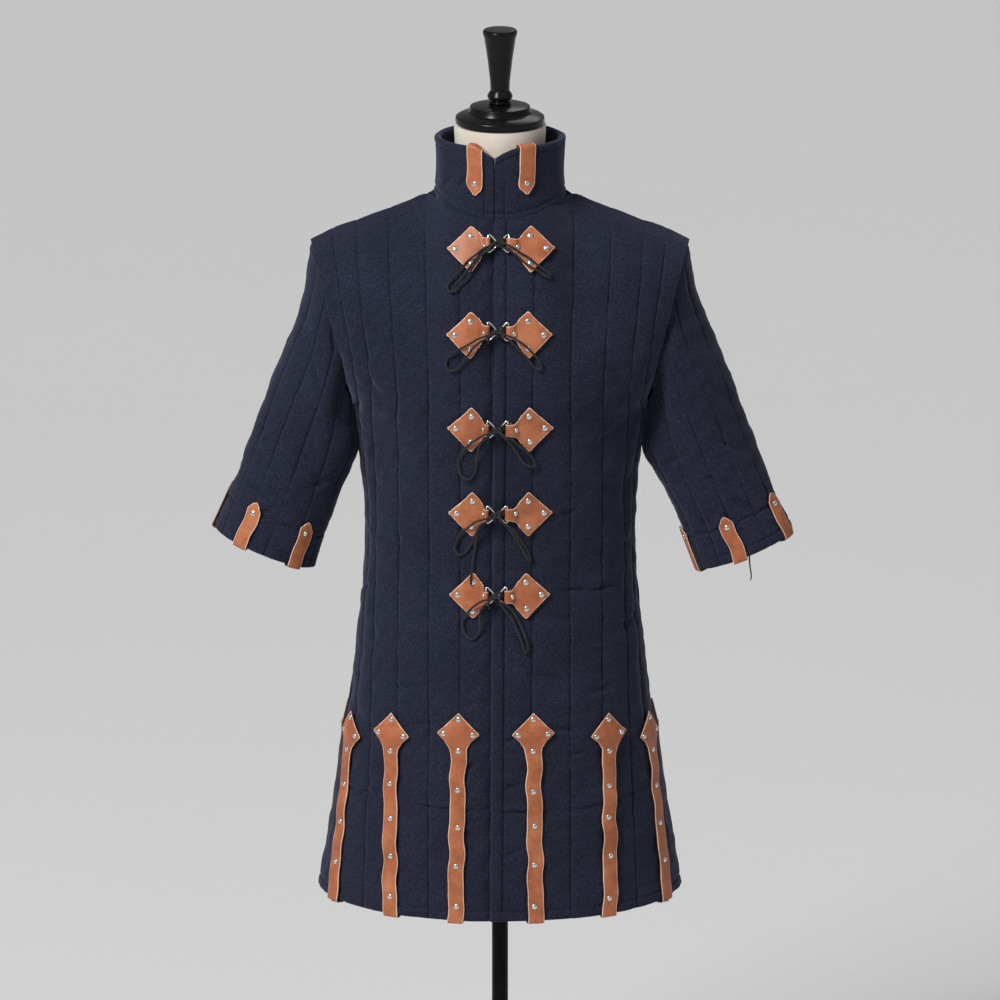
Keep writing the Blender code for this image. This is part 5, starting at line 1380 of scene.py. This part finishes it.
def strip_rows(stations):
    """Finely spaced rows of a strip: the run along it, its side view and its half width."""
    line = np.array([(station.along, station.height) for station in stations])
    run = run_of(line)
    halves = np.array([station.half_width for station in stations])
    count = int(run[-1] / STRIP_STEP)
    at = np.unique(np.round(np.concatenate([np.linspace(0, run[-1], count), run]), 7))
    at = at[np.concatenate([[True], np.diff(at) > CLOSEST_ROWS])]
    fine = np.stack([np.interp(at, run, line[:, 0]), np.interp(at, run, line[:, 1])], axis=1)
    for _ in range(3):
        soften(fine)
    return at, fine, np.interp(at, run, halves)


def dented(face, at, across, studs):
    """Presses a strip's face in round its studs; returns each one's row, column and radius."""
    made = []
    for distance, side, radius in studs:
        reach = np.sqrt((at[:, None] - distance) ** 2 + (across - side) ** 2)
        face -= STUD_DENT * groove(np.maximum(reach - radius * 0.9, 0.0), radius * 0.55)
        row = int(np.argmin(np.abs(at - distance)))
        column = int(np.argmin(np.abs(across[row] - side)))
        made.append((row, column, radius))
    return made


def strip_sides(fine, across, lift, face, place):
    """The upper side of a strip, with its relief, and the under side."""
    sides = []
    for offset, relief in ((-LEATHER / 2, face), (LEATHER / 2, 0.0 * face)):
        moved = offset_line(fine, offset)
        side = place(moved[:, :1], across, moved[:, 1:] + lift)
        toward = place(moved[:, :1], across, moved[:, 1:] + lift + MM) - side
        toward /= np.linalg.norm(toward, axis=-1, keepdims=True)
        inside = np.sign(np.gradient(moved[:, 0]))[:, None, None] * -1
        sides.append(side + toward * relief[..., None] * np.where(inside == 0, 1, inside))
    return sides


def pale_faces(at, half, edge):
    """Marks the faces of a strip that lie in the worn line along its edges."""
    slope = np.clip(np.abs(np.gradient(half, at)), 0, 3)[:, None]
    inset = edge / np.sqrt(1 + slope ** 2)
    middle = 0.25 * (inset[:-1, :-1] + inset[1:, :-1] + inset[1:, 1:] + inset[:-1, 1:])
    return (middle < PALE_BORDER).astype(np.int32)


def leather_piece(name, stations, place, materials, studs, seeds, node_name, bulges=(), border=True):
    """A strip of leather; studs are (distance along its face, distance across, radius)."""
    at, fine, half = strip_rows(stations)
    shares = np.array(STRIP_SHARES)
    across = half[:, None] * shares[None, :]
    edge = half[:, None] * (1 - np.abs(shares))[None, :]
    face = np.zeros_like(across)
    face -= rim_drop(edge, ROUNDED_EDGE) + 0.5 * rim_drop(at[:, None] + 0 * edge, ROUNDED_EDGE)
    if border:
        face -= sunk(edge - BORDER, BORDER_LINE)
    wave = seeds.uniform(0, 6.28)
    sway = 0.0009 * np.sin(at / 0.0105 + wave) + 0.0006 * np.sin(at / 0.0066 + 2 * wave)
    across = across + sway[:, None] * np.clip(at / 0.03, 0, 1)[:, None]
    lift = np.zeros_like(across)
    for middle, height, width in bulges:
        lift += height * groove(at - middle, width)[:, None] * (1 - 0.35 * shares[None, :] ** 2)
    made = dented(face, at, across, studs)
    top, under = strip_sides(fine, across, lift, face, place)
    turn = np.cross(top[1, 1] - top[0, 0], top[0, 1] - top[1, 0])
    if np.dot(turn, top[1, 1] - under[1, 1]) > 0:
        top, under = top[:, ::-1], under[:, ::-1]
        made = [(row, len(shares) - 1 - column, radius) for row, column, radius in made]
    mesh = slab_mesh(name, top, under, border=pale_faces(at, half, edge))
    # Its rim faces take the dark rim material: a burnished edge with painted shadow.
    piece = object_of(name, mesh, (materials["leather"], materials["edge"], materials["rim"]), 50.0)
    finished(piece, "tan_leather", node_name)
    found = []
    for row, column, radius in made:
        normal = top[row, column] - under[row, column]
        found.append(Stud(top[row, column], normal / np.linalg.norm(normal), radius))
    return found


def folded_end(width):
    out = LEATHER_GAP + LEATHER / 2 + CREST_RISE / 3
    inside = -(CLOTH + out)
    return [Station(-out, out, width), Station(-out, inside, width),
            Station(0.004, inside, width), Station(FOLD_RETURN, inside, width)]


def arc_columns(skin, depth_field, arc, head_arc, head):
    """For a strap that leans: its column at each distance from the hem."""
    distances = np.linspace(0.0, head + HEAD_HALF, 30)
    columns = []
    for distance in distances:
        share = min(distance / head, 1.0)
        curve = ring_curve(RINGS[0].z + distance, depth_field)[0]
        arcs = arcs_at(run_of(curve)[-1])
        columns.append(np.interp(arc + (head_arc - arc) * share, arcs, np.arange(len(arcs))))
    return lambda distance: np.interp(distance, distances, columns)


def panel_skin(clothes, side):
    """The half of a panel with its column 0 at the centre."""
    panel, hand = side
    grid = clothes["back" if panel == "back" else "front_" + hand].skin.grid
    if panel == "front":
        return Skin(grid if hand == "left" else grid[:, ::-1], False)
    middle = HALF_COLUMNS
    return Skin(grid[:, middle::-1] if hand == "left" else grid[:, middle:], False)


def make_hem_straps(clothes, materials):
    studs = []
    for order, strap in enumerate(HEM_STRAPS):
        seeds = random.Random(100 + order)
        skin = panel_skin(clothes, strap.side)
        panel = strap.side[0]
        outside = 1 if strap.side in (("front", "left"), ("back", "right")) else -1
        flipped = Skin(skin.grid if outside > 0 else skin.grid[:, ::-1], False)
        head = strap.head_z - RINGS[0].z
        columns = arc_columns(skin, panel, strap.arc, strap.head_arc, head)
        if outside < 0:
            plain = columns
            columns = lambda distance, plain=plain: HALF_COLUMNS - plain(distance)
        place = cloth_place(flipped, columns)
        out = LEATHER_GAP + LEATHER / 2
        high = out + CREST_RISE
        low = out + CREST_RISE / 3
        waist = head - HEAD_HALF
        stations = [
            Station(head + HEAD_HALF, high, 0.0009),
            Station(head + HEAD_HALF * 0.93, high, HEAD_HALF * 0.075),
            Station(head + HEAD_HALF * 0.05, high, HEAD_HALF * 0.95),
            Station(head, high, HEAD_HALF * 0.985),
            Station(head - HEAD_HALF * 0.06, high, HEAD_HALF * 0.93),
            Station(head - HEAD_HALF * 0.40, high, HEAD_HALF * 0.60),
            Station(waist + HEAD_HALF * 0.30, high, STRAP_WIDTH * 0.555),
            Station(waist, high, STRAP_WIDTH * 0.50),
            Station(waist - 0.02, low, STRAP_WIDTH * 0.47), Station(0.008, low, STRAP_WIDTH * 0.49)]
        stations += folded_end(STRAP_WIDTH * 0.49)
        spots = [(0.0095, 0.0, SMALL_RIVET), (HEAD_HALF, HEAD_HALF * 0.66, SMALL_RIVET),
                 (HEAD_HALF, -HEAD_HALF * 0.66, SMALL_RIVET), (HEAD_HALF * 1.85, 0.0, SMALL_RIVET)]
        spots += [(distance + seeds.uniform(-0.002, 0.002), seeds.uniform(-0.0012, 0.0012), SMALL_RIVET)
                  for distance in STRAP_RIVETS[order % 3]]
        between = sorted(distance for distance, side, _ in spots if side == 0.0 or distance > 0.05)
        bulges = [((a + b) / 2, 0.0024 * seeds.uniform(0.5, 1.0), (b - a) / 3.0)
                  for a, b in zip(between, between[1:])]
        studs += leather_piece(strap.name + "_leather", stations, place, materials, spots, seeds,
                               strap.name, bulges)
    return studs


def tab_stations(length, width):
    out = LEATHER_GAP + LEATHER / 2 + CREST_RISE / 2
    point = width * 0.55
    outline = ((length, 0.0008), (length - point * 0.20, width * 0.155), (length - point * 0.5, width * 0.30),
               (length - point * 0.8, width * 0.42), (length - point, width * 0.47),
               (length - point * 1.25, width * 0.49), (length * 0.55, width * 0.475),
               (length * 0.28, width * 0.465), (0.008, width * 0.475))
    return [Station(distance, out, half) for distance, half in outline] + folded_end(width * 0.475)


def cuff_column(cloth, side, start, share):
    """Column at an arc from the cuff's outer point, plus this share of the way round."""
    cuff = np.concatenate([cloth.skin.grid[0], cloth.skin.grid[0, :1]])
    forward = cuff if side == "right" else cuff[::-1]
    run = run_of(forward)
    column = float(np.interp((start + share * run[-1]) % run[-1], run, np.arange(len(run))))
    return column if side == "right" else -column


def make_tabs(clothes, materials):
    studs = []
    skin = clothes["collar"].skin
    for order, (side, angle) in enumerate(COLLAR_TAB_ANGLE.items()):
        column = COLLAR_COLUMNS - (angle % 360) / 360 * COLLAR_COLUMNS
        place = cloth_place(skin, lambda distance, column=column: column + 0 * distance)
        name = "collar_tab_" + side
        studs += leather_piece(name + "_leather", tab_stations(COLLAR_TAB, COLLAR_TAB_WIDTH), place,
                               materials, [(0.0150, 0.0, SMALL_RIVET)], random.Random(200 + order), name)
    for side in ("right", "left"):
        cloth = clothes["sleeve_" + side]
        for order in range(CUFF_TABS):
            column = cuff_column(cloth, side, CUFF_TAB_START[side], order / CUFF_TABS)
            place = cloth_place(cloth.skin, lambda distance, column=column: column + 0 * distance)
            name = "cuff_tab_%s_%d" % (side, order + 1)
            studs += leather_piece(name + "_leather", tab_stations(CUFF_TAB, CUFF_TAB_WIDTH), place,
                                   materials, [(0.0155, 0.0, SMALL_RIVET)],
                                   random.Random(300 + order + 10 * len(side)), name)
    return studs


# --- Closures ---------------------------------------------------------------------------------
def opening_at(z):
    share = (z - RINGS[0].z) / (CENTRE_FRONT[-1].z - RINGS[0].z)
    return OPENING_X[0] + (OPENING_X[1] - OPENING_X[0]) * share


def front_reader():
    """Reads the coat's front from straight ahead: the point at a given x and z."""
    vertices, faces = [], []
    for name in ("front_left", "front_right"):
        skin = Skin(body_grids()[name], False)
        rows = np.arange(0, skin.grid.shape[0] - 0.99, 0.25)
        columns = np.arange(0, HALF_COLUMNS + 0.01, 0.25)
        grid = point_on(skin, rows[:, None], columns[None, :])
        start = len(vertices)
        vertices += [Vector(point) for point in grid.reshape(-1, 3)]
        wide = len(columns)
        for row in range(len(rows) - 1):
            for column in range(wide - 1):
                corner = start + row * wide + column
                faces.append((corner, corner + 1, corner + wide + 1, corner + wide))
    tree = BVHTree.FromPolygons(vertices, faces)

    def read(x, z):
        hit = tree.ray_cast(Vector((x, -1.0, z)), Vector((0, 1, 0)))[0]
        return hit if hit else Vector((x, -CENTRE_FRONT[-1].depth, z))

    return read


def closure_frame(read, height):
    """Maps distances across, up the cloth and off it, from a closure's tie, to points."""
    middle = opening_at(height) + CLOSURE_SHIFT
    low, high = read(middle, height - 0.02), read(middle, height + 0.02)
    slope = (high - low).normalized()
    normal = Vector((0, -slope.z, slope.y))
    if normal.y > 0:
        normal = -normal

    def place(across, up, off):
        return read(middle + across, height + up * slope.z) + normal * off

    return place


def make_patch(name, sign, reach, drop, place, materials, seeds, node_name):
    out = LEATHER_GAP + LEATHER / 2 + CREST_RISE / 2
    wrap = RING_WIRE + RING_ROOM + LEATHER / 2
    neck = max(reach - PATCH_HALF * 0.62, PATCH_END + 0.0035)
    size = PATCH_HALF
    shape = [(reach + size, out, 0.0008), (reach + size * 0.94, out, size * 0.075),
             (reach + size * 0.05, out, size * 0.955), (reach, out, size * 0.985),
             (reach - size * 0.05, out, size * 0.94), (reach - size * 0.34, out, size * 0.63),
             (reach - size * 0.43, out, size * 0.50), (reach - size * 0.50, out + 0.0004, size * 0.38),
             (neck, RING_HEIGHT + wrap * 0.6, PATCH_NECK * 1.12)]
    for degrees in (80, 110, 140, 170, 200, 230, 260):
        turn = math.radians(degrees)
        shape.append((PATCH_END + wrap * math.cos(turn), RING_HEIGHT + wrap * math.sin(turn),
                      PATCH_NECK))
    shape.append((PATCH_END + 0.0050, RING_HEIGHT - wrap - 0.0004, PATCH_NECK))
    stations = [Station(*row) for row in shape]

    def on_front(distance, across, height):
        distance, across, height = np.broadcast_arrays(distance, across, height)
        sunk = drop * np.clip((distance - PATCH_END) / (reach - PATCH_END), 0.0, 1.0)
        flat = [place(sign * d, sign * a - s, h) for d, a, h, s in
                zip(distance.ravel(), across.ravel(), height.ravel(), sunk.ravel())]
        return np.array(flat).reshape(*distance.shape, 3)

    spots = [(size * 0.36, 0.0, RIVET), (size * 1.0, size * 0.60, RIVET),
             (size * 1.0, -size * 0.60, RIVET), (size * 1.56, 0.0, RIVET)]
    spots = [(d + seeds.uniform(-0.0008, 0.0008), a + seeds.uniform(-0.0008, 0.0008), r)
             for d, a, r in spots]
    return leather_piece(name, stations, on_front, materials, spots, seeds, node_name, border=False)


def ring_points():
    """Centreline of a ring: its bar, then round through the tip at the tie."""
    corner = 0.0012
    points = [(PATCH_END, share * (RING_HALF - corner) + RING_RISE)
              for share in (-1, -0.5, 0, 0.5, 1)]
    for step in range(25):
        share = 0.96 - 1.92 * step / 24
        round_tip = math.sqrt(share ** 2 + 0.012)
        points.append((PATCH_END - corner - (RING_REACH - corner) * (1 - min(round_tip, 1.0) ** 1.3),
                       RING_HALF * share + RING_RISE * abs(share)))
    return points


def rounded(points, count=64, passes=7):
    """A closed flat line with its corners softened."""
    closed = np.array(points + points[:1])
    run = run_of(closed)
    at = np.linspace(0.0, run[-1], count, endpoint=False)
    even = np.stack([np.interp(at, run, closed[:, axis]) for axis in range(2)], axis=1)
    for _ in range(passes):
        even = 0.25 * np.roll(even, 1, axis=0) + 0.5 * even + 0.25 * np.roll(even, -1, axis=0)
    return even.tolist()


def knot_points(place):
    """Two turns of lace drawn tight over the tie."""
    points = []
    for step in range(49):
        turn = 2 * math.pi * step / 24
        swell = 1 + 0.12 * math.sin(turn * 1.5)
        points.append(place(0.0044 * swell * math.cos(turn) + 0.0006 * step / 24,
                            -0.0010 + 0.0034 * math.sin(turn) * swell,
                            0.0108 + 0.0022 * math.sin(turn * 0.5 + 0.6) + 0.0006 * math.cos(turn * 3)))
    return np.array(points)


def lace_route(bow, place):
    route = bow.tail + THROUGH_RINGS + bow.left + OVER_KNOT + bow.right + LACE_END
    return [np.array(place(point.x * MM, point.z * MM, point.height * MM)) for point in route]


def braid_radii(count, step):
    return [1 + 0.10 * math.sin(2 * math.pi * index * step / BRAID) for index in range(count)]


def make_laces(read, materials):
    """The five bows and the loose end at the left cuff."""
    for order, (closure, bow) in enumerate(zip(CLOSURES, BOWS), start=1):
        place = closure_frame(read, closure.height)
        path = spread(lace_route(bow, place), LACE_STEP)
        lace = tube("lace_%d_cord" % order, path, LACE, materials["lace"],
                    radii=braid_radii(len(path), LACE_STEP))
        finished(lace, "lace_black", "lace_%d" % order)
        knot = tube("lace_%d_knot" % order, spread(knot_points(place), LACE_STEP), LACE * 1.05,
                    materials["lace"])
        finished(knot, "lace_black")
        round(float(run_of(path)[-1]), 3)
    path = spread(CUFF_LACE_POINTS, LACE_STEP)
    lace = tube("lace_cuff_cord", path, CUFF_LACE, materials["lace"],
                radii=[1 - 0.35 * index / len(path) for index in range(len(path))])
    finished(lace, "lace_black", "lace_cuff")
    round(float(run_of(path)[-1]), 3)


def make_closures(read, materials):
    studs = []
    for order, closure in enumerate(CLOSURES, start=1):
        place = closure_frame(read, closure.height)
        for side, sign, reach in (("right", -1, closure.right), ("left", 1, closure.left)):
            name = "patch_%s_%d" % (side, order)
            studs += make_patch(name + "_leather", sign, reach, closure.drop, place, materials,
                                random.Random(400 + 10 * order + sign), name)
            flat = [place(sign * across, up, RING_HEIGHT) for across, up in rounded(ring_points())]
            name = "ring_%s_%d" % (side, order)
            ring = tube(name + "_wire", flat, RING_WIRE * WIRE_FULLNESS, materials["wire"], True)
            finished(ring, "ring_steel", name)
    return studs


def make_rivets(studs, materials):
    """Domed caps, all joined in one mesh."""
    profile = ((1.00, -0.25), (1.00, 0.10), (0.94, 0.24), (0.78, 0.40), (0.50, 0.52), (0.22, 0.57))
    sides = 14
    vertices, faces = [], []
    for stud in studs:
        normal = Vector(stud.normal)
        first = normal.orthogonal().normalized()
        second = normal.cross(first)
        base = len(vertices)
        for radius, height in profile:
            for side in range(sides):
                turn = 2 * math.pi * side / sides
                vertices.append(Vector(stud.point) + stud.radius * (
                    radius * (math.cos(turn) * first + math.sin(turn) * second)
                    + height * 0.75 * normal))
        vertices.append(Vector(stud.point) + normal * stud.radius * 0.585 * 0.75)
        for level in range(len(profile) - 1):
            for side in range(sides):
                a = base + level * sides + side
                b = base + level * sides + (side + 1) % sides
                faces.append((a, b, b + sides, a + sides))
        tip = len(vertices) - 1
        ring = base + (len(profile) - 1) * sides
        faces += [(ring + side, ring + (side + 1) % sides, tip) for side in range(sides)]
        faces.append(tuple(base + side for side in reversed(range(sides))))
    mesh = bpy.data.meshes.new("rivets")
    mesh.from_pydata([tuple(v) for v in vertices], [], faces)
    finished(object_of("rivets", mesh, (materials["rivet"],), 50.0), "ring_steel")


# --- Dress form and stand -----------------------------------------------------------------------
def turned(name, profile, material, slot, radius=0.0006):
    """A solid of revolution with softened edges."""
    vertices, faces = [], []
    inner = profile[1:-1]
    low, high = (0.0, 0.0, profile[0].z), (0.0, 0.0, profile[-1].z)
    for step in inner:
        for side in range(TURNED_STEPS):
            turn = 2 * math.pi * side / TURNED_STEPS
            vertices.append((step.radius * math.cos(turn), step.radius * math.sin(turn), step.z))
    for level in range(len(inner) - 1):
        for side in range(TURNED_STEPS):
            a = level * TURNED_STEPS + side
            b = level * TURNED_STEPS + (side + 1) % TURNED_STEPS
            faces.append((a, b, b + TURNED_STEPS, a + TURNED_STEPS))
    rim = (len(inner) - 1) * TURNED_STEPS
    vertices += [low, high]
    for side in range(TURNED_STEPS):
        after = (side + 1) % TURNED_STEPS
        faces.append((after, side, len(vertices) - 2))
        faces.append((rim + side, rim + after, len(vertices) - 1))
    mesh = bpy.data.meshes.new(name + "_turned")
    mesh.from_pydata(vertices, [], faces)
    piece = object_of(name + "_turned", mesh, (material,), 28.0)
    bevel = piece.modifiers.new("soft_edges", "BEVEL")
    bevel.width = radius
    bevel.segments = 2
    bevel.limit_method = "ANGLE"
    bevel.angle_limit = math.radians(28.0)
    return finished(piece, slot, name)


def make_form(materials):
    """The jersey-covered torso, read smoothly through its rings."""
    heights = column_of(FORM, "z")
    levels = np.unique(np.concatenate([np.linspace(heights[0], heights[-1], 150), heights[:3]]))
    widths = smooth(heights, column_of(FORM, "half_width"), levels)
    depths = smooth(heights, column_of(FORM, "half_depth"), levels)
    sides = 96
    turn = np.linspace(0, 2 * math.pi, sides, endpoint=False)
    points = np.stack([widths[:, None] * np.cos(turn), depths[:, None] * np.sin(turn),
                       np.repeat(levels[:, None], sides, axis=1)], axis=-1)
    index = np.arange(points.shape[0] * sides).reshape(points.shape[0], sides)
    index = np.concatenate([index, index[:, :1]], axis=1)
    faces = np.stack([index[:-1, :-1], index[:-1, 1:], index[1:, 1:], index[1:, :-1]],
                     axis=-1).reshape(-1, 4).tolist()
    faces.append(index[0, :-1][::-1].tolist())
    faces.append(index[-1, :-1].tolist())
    mesh = bpy.data.meshes.new("form_torso_cover")
    mesh.from_pydata(points.reshape(-1, 3).tolist(), [], faces)
    finished(object_of("form_torso_cover", mesh, (materials["jersey"],)), "form_jersey", "form_torso")


def make_stand(materials):
    turned("neck_cap", CAP, materials["lacquer"], "black_lacquer")
    turned("finial", FINIAL, materials["lacquer"], "black_lacquer")
    turned("pole_and_base", STAND, materials["metal"], "black_metal", 0.0012)


def main():
    materials = make_materials()
    make_stage(materials)
    make_key_light()
    read = front_reader()
    make_laces(read, materials)
    clothes = make_body(materials)
    clothes.update(make_sleeves(materials))
    clothes["collar"] = make_collar(materials)
    make_stitches(clothes, materials)
    studs = make_hem_straps(clothes, materials)
    studs += make_tabs(clothes, materials)
    studs += make_closures(read, materials)
    make_rivets(studs, materials)
    make_form(materials)
    make_stand(materials)


main()
